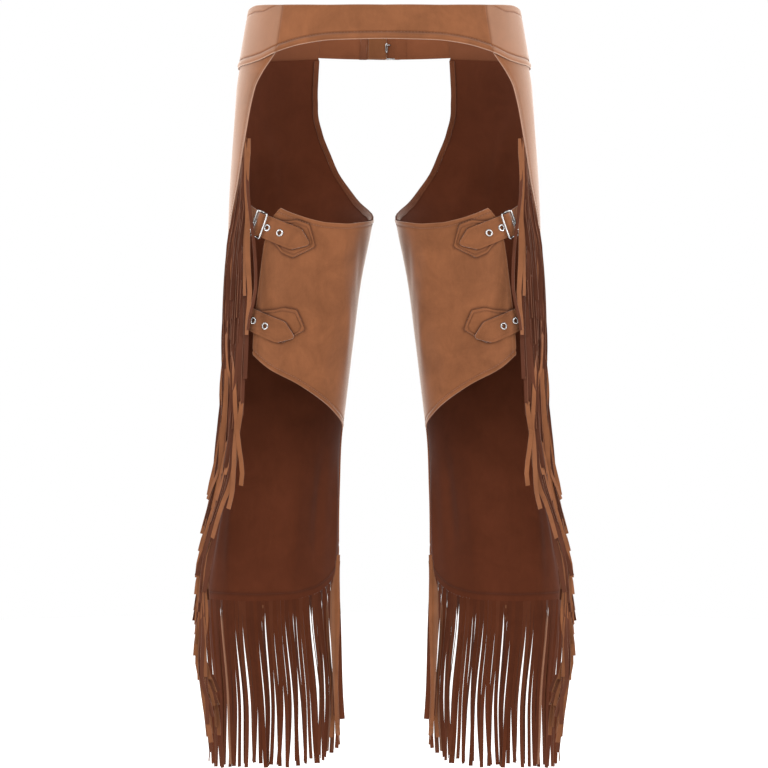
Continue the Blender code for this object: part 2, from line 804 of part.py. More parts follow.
def make_strap_buckle(name, strap, metal, side):
    """Frame with two end bars, its centre bar and its prong."""
    def form(along, across):
        return on_strap(strap, along, across, 0.0)

    centre, forward, sideways, outward = local_axes(form, STRAP_CENTRE_BAR, 0.0)

    def local(along, across, height):
        return centre + forward * along + sideways * across + outward * height

    length, half = BUCKLE_HALF_LENGTH, BUCKLE_HALF_HEIGHT
    corner = 0.0015
    end_height, mid_height = STRAP_END_BAR_HEIGHT, STRAP_BAR_HEIGHT
    quarter = (
        (0.0, half, mid_height), (0.5 * length, half, between(mid_height, end_height, 0.4)),
        (length - corner, half, end_height), (length, half - corner, end_height),
    )
    ring = [local(a, b, c) for a, b, c in quarter]
    ring += [local(a, -b, c) for a, b, c in reversed(quarter)]
    ring += [local(-a, -b, c) for a, b, c in quarter[1:]]
    ring += [local(-a, b, c) for a, b, c in reversed(quarter[1:])]
    wire(f"{name}_frame", ring, BUCKLE_WIRE, metal, closed=True, side=side)
    end = half - BUCKLE_WIRE - GAP
    bar = [local(0.0, -end, mid_height), local(0.0, end, mid_height)]
    wire(f"{name}_bar", bar, CENTRE_BAR, metal, side=side)
    prong = ((0.0042, 0.0040), (0.0056, 0.0048), (0.0062, 0.0068), (0.0062, 0.0086),
             (0.0072, 0.0101), (0.0115, 0.0103))
    wire(f"{name}_prong", [local(a, 0.0, h) for a, h in prong], PRONG_WIRE, metal, side=side)


# ---------------------------------------------------------------- fringe

def make_fringe_header(name, look, side):
    """The uncut strip of the side fringe, sewn inside the panel's back edge."""
    first_row, last_row = 4, 19
    rows = len(PANEL_ROWS) - 1

    def place(across, down, layer):
        level = between(first_row, last_row, down) / rows
        width = strip_width(0.0, level, HEADER_WIDTH) * across
        return on_panel(width, level, -LAY - BINDING * (1.0 - layer))

    bent_slab(name, 1, last_row - first_row, place, look, side)


def make_side_fringe(name, look, side):
    """The reach of the strands that hang from the panel's back edge."""
    drops = SIDE_FRINGE["drop"]
    rows = len(drops) - 1
    row_parts = [index / rows for index in range(rows + 1)]

    def place(across, down, layer):
        drop = smooth(row_parts, drops, down)
        inner = angle_at_x(drop, smooth(drops, SIDE_FRINGE["inner_x"], drop))
        outer = smooth(drops, SIDE_FRINGE["outer_angle"], drop)
        lift = between(
            smooth(drops, SIDE_FRINGE["inner_lift"], drop),
            smooth(drops, SIDE_FRINGE["outer_lift"], drop),
            across * across,
        )
        weight = smooth(drops, SIDE_FRINGE["weight"], drop)
        height = PANEL + lift + SIDE_FRINGE_THICKNESS * weight * (1.0 - 0.4 * across) * layer
        return on_form(drop, between(inner, outer, across), height)

    bent_slab(name, 5, rows, place, look, side)


def make_hem_fringe(name, look, side):
    """The reach of the strands below the hem, all round from the outer to the inner edge."""
    def place(across, down, layer):
        hem, angle = panel_place(across, 1.0)
        return on_form(hem + between(GAP, FRINGE_LENGTH, down), angle, FRINGE_THICKNESS * layer)

    bent_slab(name, PANEL_COLUMNS, 1, place, look, side)


# ---------------------------------------------------------------- the whole

def build():
    for old in list(bpy.data.objects):
        bpy.data.objects.remove(old, do_unlink=True)

    suede = material("suede_tan", TAN, 0.85)
    suede_light = material("suede_band", TAN_LIGHT, 0.85)
    reverse = material("suede_brown", BROWN, 0.9)
    nickel = material("nickel", NICKEL, 0.25, metallic=1.0)

    make_waistband(suede_light)
    make_belt(suede, nickel)
    for word, side in (("right", 1), ("left", -1)):
        make_leg_panel(f"leg_panel_{word}", suede, side)
        make_crotch_binding(f"crotch_binding_{word}", suede_light, side)
        make_thigh_wrap(f"thigh_wrap_{word}", suede, side)
        for row in zip(*STRAPS.values()):
            strap = dict(zip(STRAPS, row))
            name = f"{strap['name']}_strap_{word}"
            make_patch(f"{strap['name']}_patch_{word}", strap, suede_light, side)
            make_strap(name, strap, suede, nickel, side)
            make_strap_buckle(f"{strap['name']}_buckle_{word}", strap, nickel, side)
        make_fringe_header(f"side_fringe_header_{word}", reverse, side)
        make_side_fringe(f"side_fringe_{word}", reverse, side)
        make_hem_fringe(f"hem_fringe_{word}", reverse, side)


build()
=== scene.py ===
"""Fringed suede chaps, open at the back, in their worn form with nobody inside.

Metres, +Z up, in the part's own frame: the origin is the middle of the waist, +Y the wearer's
front, -Y the back, +X the wearer's right. Right-hand pieces are made first, and the left-hand
ones are the same with X turned round.
"""

import math
import random

import bmesh
import bpy
from mathutils import Matrix, Vector


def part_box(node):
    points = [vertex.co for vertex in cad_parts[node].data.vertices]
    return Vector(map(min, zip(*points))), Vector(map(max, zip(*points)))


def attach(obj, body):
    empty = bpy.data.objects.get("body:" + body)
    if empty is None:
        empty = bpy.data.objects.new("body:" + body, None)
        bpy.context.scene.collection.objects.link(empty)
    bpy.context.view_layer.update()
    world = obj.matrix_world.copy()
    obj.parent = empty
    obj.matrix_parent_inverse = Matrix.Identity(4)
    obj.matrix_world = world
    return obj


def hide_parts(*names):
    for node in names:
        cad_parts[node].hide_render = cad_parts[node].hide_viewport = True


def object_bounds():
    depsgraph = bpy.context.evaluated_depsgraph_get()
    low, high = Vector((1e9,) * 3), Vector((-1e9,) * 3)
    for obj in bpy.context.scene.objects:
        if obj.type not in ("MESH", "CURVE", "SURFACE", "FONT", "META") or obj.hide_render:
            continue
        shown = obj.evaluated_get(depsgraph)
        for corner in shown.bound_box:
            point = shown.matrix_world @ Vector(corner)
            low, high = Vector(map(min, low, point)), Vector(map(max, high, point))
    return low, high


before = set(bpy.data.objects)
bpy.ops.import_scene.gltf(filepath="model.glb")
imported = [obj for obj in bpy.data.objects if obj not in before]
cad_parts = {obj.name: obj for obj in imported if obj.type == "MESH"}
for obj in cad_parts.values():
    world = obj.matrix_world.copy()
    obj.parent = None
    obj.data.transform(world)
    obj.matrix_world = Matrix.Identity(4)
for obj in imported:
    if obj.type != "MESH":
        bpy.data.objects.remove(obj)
cad_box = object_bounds()

# ------------------------------------------------------------------ leg panels
# Each leg's panel is one piece of suede: it hangs from under the waistband, covers the hip and
# the front of the leg down to the hem, and is open at the back. The face is brushed tan, the
# reverse dark brown. Its crotch edge is turned in, and a row of stitches holds every edge.


def table(names, *rows):
    """A small table: each column's name gives the tuple of its values."""
    return dict(zip(names.split(), zip(*rows)))


class Curve:
    """A smooth curve through a table's rows, which never overshoots them."""

    def __init__(self, places, values):
        self.places, self.values = places, values
        self.steps = [b - a for a, b in zip(places, places[1:])]
        slopes = [(b - a) / step for a, b, step in zip(values, values[1:], self.steps)]
        self.tangents = [slopes[0]]
        for before, after in zip(slopes, slopes[1:]):
            same_way = before * after > 0.0
            self.tangents.append(2.0 * before * after / (before + after) if same_way else 0.0)
        self.tangents.append(slopes[-1])

    def __call__(self, place):
        if place <= self.places[0]:
            return self.values[0]
        if place >= self.places[-1]:
            return self.values[-1]
        index = 0
        while self.places[index + 1] < place:
            index += 1
        step = self.steps[index]
        t = (place - self.places[index]) / step
        return (
            (2 * t**3 - 3 * t**2 + 1) * self.values[index]
            + (t**3 - 2 * t**2 + t) * step * self.tangents[index]
            + (3 * t**2 - 2 * t**3) * self.values[index + 1]
            + (t**3 - t**2) * step * self.tangents[index + 1]
        )


def between(start, end, part):
    """The value a part of the way from start to end."""
    return start + (end - start) * part


def soft_step(value):
    """0 below 0 and 1 above 1, with a smooth rise between."""
    value = min(1.0, max(0.0, value))
    return value * value * (3.0 - 2.0 * value)


def near(distance, reach):
    """1 at no distance, falling smoothly to 0 at the reach."""
    return soft_step(1.0 - distance / reach)


def bell(distance, reach):
    """1 at no distance, fading smoothly on both sides."""
    return math.exp(-((distance / reach) ** 2))


# Level sections of one side: sheared ellipses, centred on the body down to the hips and on the
# leg below them.
SECTIONS = table(
    "drop   centre  outer   half_depth skew",
    (-0.012, 0.0000, 0.1777, 0.1120, 0.00),
    (0.000, 0.0000, 0.1795, 0.1130, 0.00),
    (0.070, 0.0000, 0.1922, 0.1215, 0.00),
    (0.100, 0.0020, 0.1969, 0.1240, 0.00),
    (0.135, 0.0160, 0.2004, 0.1250, 0.00),
    (0.170, 0.0400, 0.2024, 0.1240, 0.01),
    (0.200, 0.0640, 0.2042, 0.1210, 0.04),
    (0.225, 0.0850, 0.2060, 0.1150, 0.09),
    (0.245, 0.0990, 0.2073, 0.1090, 0.15),
    (0.272, 0.1117, 0.2087, 0.1010, 0.22),
    (0.300, 0.1153, 0.2095, 0.0980, 0.24),
    (0.360, 0.1217, 0.2105, 0.0940, 0.25),
    (0.430, 0.1272, 0.2125, 0.0890, 0.25),
    (0.550, 0.1350, 0.2135, 0.0830, 0.22),
    (0.630, 0.1413, 0.2220, 0.0830, 0.17),
    (0.700, 0.1469, 0.2320, 0.0860, 0.12),
    (0.790, 0.1500, 0.2385, 0.0900, 0.08),
    (1.020, 0.1490, 0.2370, 0.0910, 0.08),
)
PANEL_BACK = table(
    "drop   angle",
    (0.050, 45.0),
    (0.061, 48.3),
    (0.082, 54.8),
    (0.103, 58.6),
    (0.144, 60.7),
    (0.180, 61.5),
    (0.223, 62.0),
    (0.248, 65.3),
    (0.274, 71.5),
    (0.300, 78.0),
    (0.430, 82.0),
    (0.800, 86.0),
)
PANEL_FRONT = table(
    "drop   angle",
    (0.040, 151.0),
    (0.084, 151.5),
    (0.112, 153.0),
    (0.143, 158.5),
    (0.171, 167.5),
    (0.198, 179.4),
    (0.224, 197.9),
    (0.245, 218.3),
    (0.258, 237.5),
    (0.267, 254.0),
    (0.276, 264.0),
    (0.290, 266.0),
    (0.800, 266.0),
)
BAND_EDGE = table(
    "angle  drop",
    (0.0, 0.0480),
    (20.0, 0.0485),
    (34.0, 0.0520),
    (46.0, 0.0590),
    (58.0, 0.0680),
    (68.0, 0.0700),
    (100.0, 0.0700),
    (125.0, 0.0600),
    (151.0, 0.0520),
)
HEM_EDGE = table(
    "angle  drop",
    (86.0, 0.7770),
    (120.0, 0.7860),
    (165.0, 0.7915),
    (190.0, 0.7900),
    (215.0, 0.7810),
    (235.0, 0.7650),
    (250.0, 0.7450),
    (260.0, 0.7280),
    (266.0, 0.7160),
)
SIDES = (("right", 1), ("left", -1))
BELT_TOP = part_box("belt_right")[1].z
PANEL = 0.0015
LAY = 0.0006
BAND_LAP = 0.010
FRONT_SEAM = 151.0
PANEL_LEVELS = (0.050, 0.110, 0.165, 0.226, 0.263, 0.345, 0.470, 0.580, 0.680, 0.790)
TOP_FADE = 0.110
HEM_FADE = 0.580

centre_at = Curve(SECTIONS["drop"], SECTIONS["centre"])
outer_at = Curve(SECTIONS["drop"], SECTIONS["outer"])
half_depth_at = Curve(SECTIONS["drop"], SECTIONS["half_depth"])
skew_at = Curve(SECTIONS["drop"], SECTIONS["skew"])
panel_back_at = Curve(PANEL_BACK["drop"], PANEL_BACK["angle"])
panel_front_at = Curve(PANEL_FRONT["drop"], PANEL_FRONT["angle"])
band_edge_at = Curve(BAND_EDGE["angle"], BAND_EDGE["drop"])
hem_edge_at = Curve(HEM_EDGE["angle"], HEM_EDGE["drop"])


def along_section(drop, angle):
    """Change in x and y for one radian of angle."""
    centre = centre_at(drop)
    half_width = outer_at(drop) - centre
    turn = math.radians(angle)
    along_x = half_width * math.cos(turn)
    return along_x, skew_at(drop) * along_x + half_depth_at(drop) * math.sin(turn)


def on_form(drop, angle, proud):
    """The point at a drop below the belt's top and an angle, standing proud of the form."""
    centre = centre_at(drop)
    half_width = outer_at(drop) - centre
    turn = math.radians(angle)
    x = centre + half_width * math.sin(turn)
    y = skew_at(drop) * half_width * math.sin(turn) - half_depth_at(drop) * math.cos(turn)
    along_x, along_y = along_section(drop, angle)
    length = math.hypot(along_x, along_y)
    return Vector((
        x + proud * along_y / length,
        y - proud * along_x / length,
        BELT_TOP - drop,
    ))


def angle_per_metre(drop, angle):
    return math.degrees(1.0 / math.hypot(*along_section(drop, angle)))


def out_from(drop, angle):
    """The level direction out of the form."""
    along_x, along_y = along_section(drop, angle)
    return Vector((along_y, -along_x, 0.0)).normalized()


def part_down(level):
    """How far down the panel's rows a level lies, from 0 to 1."""
    steps = len(PANEL_LEVELS) - 1
    row = max(i for i in range(steps) if PANEL_LEVELS[i] <= level)
    start, end = PANEL_LEVELS[row : row + 2]
    return (row + (level - start) / (end - start)) / steps


def panel_place(across, down):
    """Drop and angle of a point on a leg panel, from its back edge to its front one and from
    under the waistband to the hem."""
    steps = len(PANEL_LEVELS) - 1
    row = min(steps - 1, int(down * steps))
    level = between(PANEL_LEVELS[row], PANEL_LEVELS[row + 1], down * steps - row)
    angle = between(panel_back_at(level), panel_front_at(level), across)
    top = band_edge_at(min(angle, FRONT_SEAM)) - BAND_LAP
    top_part = max(0.0, (TOP_FADE - level) / (TOP_FADE - PANEL_LEVELS[0]))
    hem_part = max(0.0, (level - HEM_FADE) / (PANEL_LEVELS[-1] - HEM_FADE))
    drop = level + (top - PANEL_LEVELS[0]) * top_part
    return drop + (hem_edge_at(angle) - PANEL_LEVELS[-1]) * hem_part, angle


# Soft folds of a panel: where, how far they run up and down and round, how much they slant
# (degrees round for each metre down) and how deep they are.
PANEL_FOLDS = table(
    "drop  angle  half_run half_turn slant  depth",
    (0.150, 88.0, 0.070, 5.5, 60.0, -0.0021),
    (0.165, 112.0, 0.085, 7.0, 120.0, 0.0029),
    (0.190, 137.0, 0.075, 6.0, 260.0, -0.0034),
    (0.245, 165.0, 0.065, 8.0, 330.0, 0.0036),
    (0.275, 195.0, 0.060, 9.0, 420.0, -0.0034),
    (0.330, 120.0, 0.110, 8.0, -70.0, -0.0029),
    (0.345, 222.0, 0.095, 9.0, 90.0, 0.0031),
    (0.470, 150.0, 0.055, 24.0, 520.0, -0.0048),
    (0.500, 205.0, 0.045, 20.0, -480.0, -0.0042),
    (0.535, 118.0, 0.050, 15.0, 330.0, 0.0036),
    (0.560, 176.0, 0.060, 21.0, -300.0, 0.0036),
    (0.655, 104.0, 0.120, 7.5, -45.0, -0.0051),
    (0.690, 134.0, 0.140, 8.5, 30.0, 0.0054),
    (0.670, 163.0, 0.125, 8.0, 12.0, -0.0045),
    (0.700, 193.0, 0.130, 9.5, -20.0, 0.0051),
    (0.660, 222.0, 0.110, 8.0, -35.0, -0.0042),
    (0.680, 250.0, 0.105, 7.0, -25.0, 0.0039),
)


def fold_height(folds, drop, angle):
    """How far the folds of a table lift the cloth at a place."""
    height = 0.0
    for row in zip(*folds.values()):
        middle, turn, half_run, half_turn, slant, depth = row
        run = (drop - middle) / half_run
        if abs(run) < 1.0:
            off = (angle - turn - slant * (drop - middle)) / half_turn
            height += depth * (1.0 - run * run) ** 2 * math.exp(-off * off)
    return height


def panel_fold(drop, angle):
    """The folds of a leg panel: they die out towards its two long edges."""
    back, front = panel_back_at(drop), panel_front_at(drop)
    across = (angle - back) / (front - back)
    fade = soft_step(across * 9.0) * soft_step((1.0 - across) * 12.0)
    return fold_height(PANEL_FOLDS, drop, angle) * fade


def crowd(part, share):
    """Moves evenly spaced rows towards both edges, where the stitches are."""
    return part - share * math.sin(2.0 * math.pi * part) / (2.0 * math.pi)


def seam_dip(distance, depth=0.0006, reach=0.0016):
    """A stitched line: how far the thread pulls the face down at this distance from it."""
    return -depth * bell(distance, reach)


class Maths:
    """A shader socket that Python's operators work on: each adds a Math node."""

    def __init__(self, tree, socket):
        self.tree, self.socket = tree, socket

    def node(self, kind, settings=None, sockets=None, out=0):
        """Any node, its settings first and then the values or links of its sockets."""
        made = self.tree.nodes.new(kind)
        for name, value in (settings or {}).items():
            setattr(made, name, value)
        for name, value in (sockets or {}).items():
            if isinstance(value, Maths):
                self.tree.links.new(value.socket, made.inputs[name])
            else:
                made.inputs[name].default_value = value
        return Maths(self.tree, made.outputs[out])

    def maths(self, operation, first, second):
        return self.node("ShaderNodeMath", {"operation": operation}, {0: first, 1: second})

    def __add__(self, other):
        return self.maths("ADD", self, other)

    def __mul__(self, other):
        return self.maths("MULTIPLY", self, other)

    def __sub__(self, other):
        return self.maths("SUBTRACT", self, other)

    def __rsub__(self, other):
        return self.maths("SUBTRACT", other, self)

    __radd__ = __add__
    __rmul__ = __mul__

    def mix(self, first, second):
        """This value as the factor between two colours."""
        return self.node(
            "ShaderNodeMix", {"data_type": "RGBA"}, {"Factor": self, 6: first, 7: second}, out=2
        )

    def spread(self, low, high):
        """This value, read between low and high as 0 to 1."""
        return self.node(
            "ShaderNodeMapRange", {}, {"Value": self, "From Min": low, "From Max": high}
        )


def new_material(name, **constants):
    """A material, its shader and a Maths value of its Object coordinates. Words are the
    shader's own sockets, with _ for a space."""
    material = bpy.data.materials.new(name)
    material.use_nodes = True
    shader = material.node_tree.nodes["Principled BSDF"]
    for socket, value in constants.items():
        shader.inputs[socket.replace("_", " ")].default_value = value
    place = Maths(material.node_tree, None).node("ShaderNodeTexCoord", out="Object")
    return material, shader, place


FACE = (0.134, 0.0470, 0.0172)
# Pale tan of painted highlight on the face: hips paled as by side light and sheen, and lit edges.
FACE_HIGHLIGHT = (0.335, 0.214, 0.155)
REVERSE = (0.088, 0.0218, 0.0080)
# Pale brown of painted highlight on the reverse.
REVERSE_HIGHLIGHT = (0.150, 0.052, 0.026)
# Colour of painted shade: in grooves, along edges, and round patches and straps.
DEEP_SHADE = (0.040, 0.012, 0.006, 1.0)


def suede(name, face=FACE, reverse=REVERSE, cloudy=0.24, sheen=0.70):
    """Brushed suede: a short nap lying in cloudy patches, fine grain, dark reverse. The mesh
    says which side of the skin a point is on, and where painted highlight or painted shade falls."""
    material, shader, place = new_material(
        name, Sheen_Weight=sheen, Sheen_Roughness=0.35, Sheen_Tint=(1.0, 0.88, 0.80, 1.0),
        Specular_IOR_Level=0.15,
    )
    cloud = place.node("ShaderNodeTexNoise", {}, {
        "Vector": place, "Scale": 26.0, "Detail": 4.0, "Roughness": 0.62, "Distortion": 0.6,
    })
    stroke = place.node("ShaderNodeTexNoise", {}, {
        "Vector": place.node("ShaderNodeMapping", {}, {"Vector": place, "Scale": (190, 190, 60)}),
        "Scale": 1.0, "Detail": 3.0, "Roughness": 0.7,
    })
    grain = place.node("ShaderNodeTexNoise", {}, {
        "Vector": place, "Scale": 900.0, "Detail": 3.0, "Roughness": 0.65,
    })
    side = place.node("ShaderNodeAttribute", {"attribute_name": "outer"}, out="Fac")
    tone_and_painted_light = place.node("ShaderNodeAttribute", {"attribute_name": "tone_and_painted_light"}, out="Fac")
    light = 0.46 * cloud.spread(0.30, 0.70) + 0.27 * stroke + 0.27 * grain
    nap = light.spread(0.18, 0.84)

    def brushed(colour, highlight, depth):
        dark = tuple((1.0 - depth) * part for part in colour) + (1.0,)
        pale = tuple((1.0 + depth) * part for part in colour) + (1.0,)
        # Above 1 the colour is mixed towards a painted highlight, below 1 towards painted shade.
        highlighted = tone_and_painted_light.spread(1.0, 2.0).mix(nap.mix(dark, pale), highlight + (1.0,))
        return (1.0 - tone_and_painted_light.spread(0.0, 1.0)).mix(highlighted, DEEP_SHADE)

    height = 0.55 * grain + 0.45 * stroke
    bump = place.node("ShaderNodeBump", {}, {"Height": height, "Strength": 0.4, "Distance": 0.0006})
    back = place.node(
        "ShaderNodeBsdfPrincipled", {}, {"Sheen Weight": 0.10, "Sheen Roughness": 0.4,
                                         "Specular IOR Level": 0.12,
                                         "Base Color": brushed(reverse, REVERSE_HIGHLIGHT, 0.14),
                                         "Roughness": 0.97 - 0.10 * nap, "Normal": bump})
    links = material.node_tree.links
    links.new(brushed(face, FACE_HIGHLIGHT, cloudy).socket, shader.inputs["Base Color"])
    links.new((0.97 - 0.12 * nap).socket, shader.inputs["Roughness"])
    links.new(bump.socket, shader.inputs["Normal"])
    front = Maths(material.node_tree, shader.outputs[0])
    both = place.node("ShaderNodeMixShader", {}, {0: side, 1: back, 2: front})
    ending = material.node_tree.nodes["Material Output"]
    links.new(both.socket, ending.inputs["Surface"])
    return material


tan_suede = suede("tan_suede")
SHARP = math.radians(50.0)
MEASURE_STEPS = 24
LEAST_SHARE = 0.31


def mesh_from(bm, name):
    mesh = bpy.data.meshes.new(name)
    bm.to_mesh(mesh)
    bm.free()
    return mesh


def new_object(name, data):
    made = bpy.data.objects.new(name, data)
    bpy.context.scene.collection.objects.link(made)
    return made


def put(bm, name, look, node_names):
    """Turns a bmesh into a shown piece that rides on the frame in place of its CAD nodes."""
    mesh = mesh_from(bm, name)
    mesh.shade_smooth()
    mesh.set_sharp_from_angle(angle=SHARP)
    mesh.materials.append(look)
    piece = new_object(name, mesh)
    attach(piece, "root")
    if node_names:
        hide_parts(*node_names)
    return piece


def marked_mesh():
    """An empty bmesh whose points say which side of the skin they are on, and their tone with painted
    highlight and shade.
    """
    bm = bmesh.new()
    bm.verts.layers.float.new("outer")
    bm.verts.layers.float.new("tone_and_painted_light")
    return bm


def thick_grid(bm, columns, rows):
    """A flat slab, one unit each way, in columns and rows: the blank for a shell of cloth."""
    bmesh.ops.create_grid(bm, x_segments=columns, y_segments=rows, size=0.5)
    raised = bmesh.ops.extrude_face_region(bm, geom=bm.faces[:])["geom"]
    lifted = [part for part in raised if isinstance(part, bmesh.types.BMVert)]
    bmesh.ops.translate(bm, verts=lifted, vec=(0.0, 0.0, 1.0))


def face_out(bm):
    bmesh.ops.recalc_face_normals(bm, faces=bm.faces[:])
    if bm.calc_volume(signed=True) < 0.0:
        bmesh.ops.reverse_faces(bm, faces=bm.faces[:])


def cloth(name, columns, rows, place, look, node, side=1, share=0.7):
    """A shell of cloth, which also measures the size of its cut. place(across, down, layer) gives
    each point and its shading value: across and down run from 0 to 1, layer is 0 on the
    reverse and 1 on the face. The value is 1 for the suede's own colour, up to 2 with painted
    highlight, down to 0 in painted shade."""
    bm = marked_mesh()
    outer, tone_and_painted_light = (bm.verts.layers.float[mark] for mark in ("outer", "tone_and_painted_light"))
    thick_grid(bm, columns, rows)
    for vertex in bm.verts:
        across, down = crowd(vertex.co.x + 0.5, share), crowd(0.5 - vertex.co.y, share)
        vertex[outer] = vertex.co.z
        vertex.co, vertex[tone_and_painted_light] = place(across, down, round(vertex.co.z))
        vertex.co.x *= side
    face_out(bm)
    piece = put(bm, name, look, [node])
    parts = [i / MEASURE_STEPS for i in range(MEASURE_STEPS + 1)]
    spread = [[place(across, down, 1)[0] for across in parts] for down in parts]
    widths = [sum((b - a).length for a, b in zip(row, row[1:])) for row in spread]
    lengths = [sum((b - a).length for a, b in zip(run, run[1:])) for run in zip(*spread)]
    width, length = max(widths), max(lengths)
    area = sum(widths) / len(parts) * sum(lengths) / len(parts)
    area = min(width * length, max(LEAST_SHARE * width * length, area))
    return piece


HEM_STITCH = 0.0095
EDGE_STITCH = 0.0048
HEM_CREASE = 0.0022
HEM_DIP = 0.0010
RAW_EDGE = 0.0012
# Painted highlight pales the hips, where side light and sheen fall: from which angle and over how many
# degrees, and down to which drop.
PALE_BACK, PALE_BACK_RUN = 51.0, 26.0
PALE_FRONT, PALE_FRONT_RUN = 150.0, 50.0
PALE_FOOT, PALE_FOOT_RUN = 0.52, 0.38


def panel_point(across, down, layer):
    drop, angle = panel_place(across, down)
    height = panel_fold(drop, angle) * soft_step((down - 0.02) * 12.0)
    above_hem = hem_edge_at(angle) - drop
    turned = panel_front_at(drop) - panel_back_at(drop)
    metres = turned / angle_per_metre(drop, panel_back_at(drop) + 0.5 * turned)
    from_back, from_front = across * metres, (1.0 - across) * metres
    hem_line = bell(above_hem - HEM_STITCH, HEM_CREASE) if down > 0.5 else 0.0
    dip = seam_dip(from_back - EDGE_STITCH) + seam_dip(from_front - EDGE_STITCH) - HEM_DIP * hem_line
    # Painted highlight along the raw back edge, painted shade in the hem's crease.
    tone_and_painted_light = 1.0 + 0.75 * near(from_back, RAW_EDGE) - 0.50 * hem_line
    if layer == 0:
        return on_form(drop, angle, height - 0.6 * dip), tone_and_painted_light
    # Painted highlight on the hips.
    pale = soft_step((angle - PALE_BACK) / PALE_BACK_RUN)
    pale *= soft_step((PALE_FRONT - angle) / PALE_FRONT_RUN)
    tone_and_painted_light += 0.56 * pale * soft_step((PALE_FOOT - drop) / PALE_FOOT_RUN)
    return on_form(drop, angle, PANEL + height + 0.6 * dip), tone_and_painted_light


for word, side in SIDES:
    cloth(
        f"panel_{word}", 96, 170, panel_point, tan_suede,
        f"leg_panel_{word}", side,
    )

# ------------------------------------------------------------------ crotch edge
# The panel's crotch edge is turned to the inside and topstitched: a narrow tan strip that
# shows its face on the inside, from the belt down to the inner seam.

BINDING_WIDTH = 0.0075
BINDING = 0.0010
BINDING_TOP, BINDING_FOOT = 0.052, 0.272
binding_suede = suede("turned_edge_suede", (0.125, 0.038, 0.0155))


def binding_point(across, down, layer):
    level = between(BINDING_TOP, BINDING_FOOT, down)
    front, back = panel_front_at(level), panel_back_at(level)
    above, below = (on_form(level + step, panel_front_at(level + step), 0.0) for step in (-0.003, 0.003))
    inward = on_form(level, front - 2.0, 0.0) - on_form(level, front, 0.0)
    slant = max(0.30, inward.normalized().cross((below - above).normalized()).length)
    turn = BINDING_WIDTH / slant * angle_per_metre(level, front) / (front - back)
    drop, angle = panel_place(1.0 - turn * (1.0 - across) + 0.0006, part_down(level))
    height = -LAY - BINDING * (1 - layer)
    height -= seam_dip((across - 0.25) * BINDING_WIDTH, 0.0005, 0.0009)
    swell = 0.0005 * math.sin(math.pi * across)
    # Painted shade darkens the strip towards its free inner edge.
    return on_form(drop, angle, height - swell), 1.0 - 0.2 * soft_step(1.0 - across * 6.0)


for word, side in SIDES:
    cloth(
        f"turned_edge_{word}", 14, 130, lambda a, d, l: binding_point(a, d, 1 - l),
        binding_suede, f"crotch_binding_{word}", side, 0.0,
    )

# ------------------------------------------------------------------ thigh wraps
# A second piece of suede starts at the inner seam and goes round the back of the thigh. Its
# top and lower edges are turned in and topstitched, and its outer edge is cut raw.

WRAP_TOP = table(
    "angle  drop",
    (266.0, 0.2730),
    (301.0, 0.2804),
    (320.0, 0.2836),
    (335.0, 0.2829),
    (348.0, 0.2790),
    (361.0, 0.2725),
    (374.5, 0.2637),
)
WRAP_FOOT = table(
    "angle  drop",
    (266.0, 0.5520),
    (296.5, 0.5336),
    (315.7, 0.5182),
    (331.6, 0.5050),
    (349.0, 0.4907),
    (373.6, 0.4726),
    (390.5, 0.4542),
)
WRAP_OUTER = table(
    "drop   angle",
    (0.2637, 374.5),
    (0.2740, 379.0),
    (0.3010, 384.5),
    (0.3560, 387.5),
    (0.4420, 391.0),
    (0.4542, 390.5),
)
WRAP_SEAM = 266.3
WRAP_EDGE = 0.0011
WRAP_WELT = 0.003
WRAP_FLAT = 0.02
# How far the painted shadow round the patches reaches.
PATCH_SHADOW = 0.0022
# Painted highlight towards the inner seam, standing in for sheen at the wrap's edge: from which angle,
# over how many degrees.
INNER_PALE, INNER_PALE_RUN = 298.0, 30.0
TOP_STITCH = 0.0062
FOOT_STITCH = 0.0065
OUTER_STITCH = 0.0040
WRAP_FOLDS = table(
    "drop  angle  half_run half_turn slant  depth",
    (0.335, 289.0, 0.060, 7.0, -190.0, -0.0016),
    (0.375, 308.0, 0.075, 8.0, -150.0, 0.0013),
    (0.330, 318.0, 0.045, 6.0, 110.0, 0.0010),
    (0.420, 296.0, 0.080, 6.5, -90.0, 0.0014),
    (0.405, 334.0, 0.065, 9.0, 130.0, -0.0011),
    (0.470, 312.0, 0.050, 9.0, 60.0, -0.0012),
    (0.365, 362.0, 0.045, 8.0, -160.0, 0.0010),
    (0.440, 358.0, 0.040, 7.0, 200.0, 0.0009),
)
# The straps lie across the wraps, and painted shadow darkens the suede along their patches.
STRAPS = table(
    "name     drop    angle  slope patch_lift",
    ("upper", 0.2960, 371.4, 21.0, 0.000),
    ("lower", 0.4165, 378.0, 21.0, 0.014),
)
PATCH_OUTLINE = table(
    "along    half_width",
    (-0.0500, 0.0012),
    (-0.0485, 0.0030),
    (-0.0370, 0.0158),
    (-0.0290, 0.0228),
    (-0.0155, 0.0226),
    (-0.0035, 0.0178),
    (0.0060, 0.0150),
    (0.0180, 0.0125),
    (0.0330, 0.0120),
)
CENTRE_BAR_AT = 0.0335
patch_half_at = Curve(PATCH_OUTLINE["along"], PATCH_OUTLINE["half_width"])
strap_rows = [dict(zip(STRAPS, row)) for row in zip(*STRAPS.values())]
wrap_top_at = Curve(WRAP_TOP["angle"], WRAP_TOP["drop"])
wrap_foot_at = Curve(WRAP_FOOT["angle"], WRAP_FOOT["drop"])
wrap_outer_at = Curve(WRAP_OUTER["drop"], WRAP_OUTER["angle"])


def wrap_place(across, down):
    """The outer edge leans, so the angle is found again once the drop is known."""
    angle = between(WRAP_SEAM, WRAP_OUTER["angle"][-1], across)
    for _ in range(4):
        drop = between(wrap_top_at(angle), wrap_foot_at(angle), down)
        angle = between(WRAP_SEAM, wrap_outer_at(drop), across)
    return drop, angle


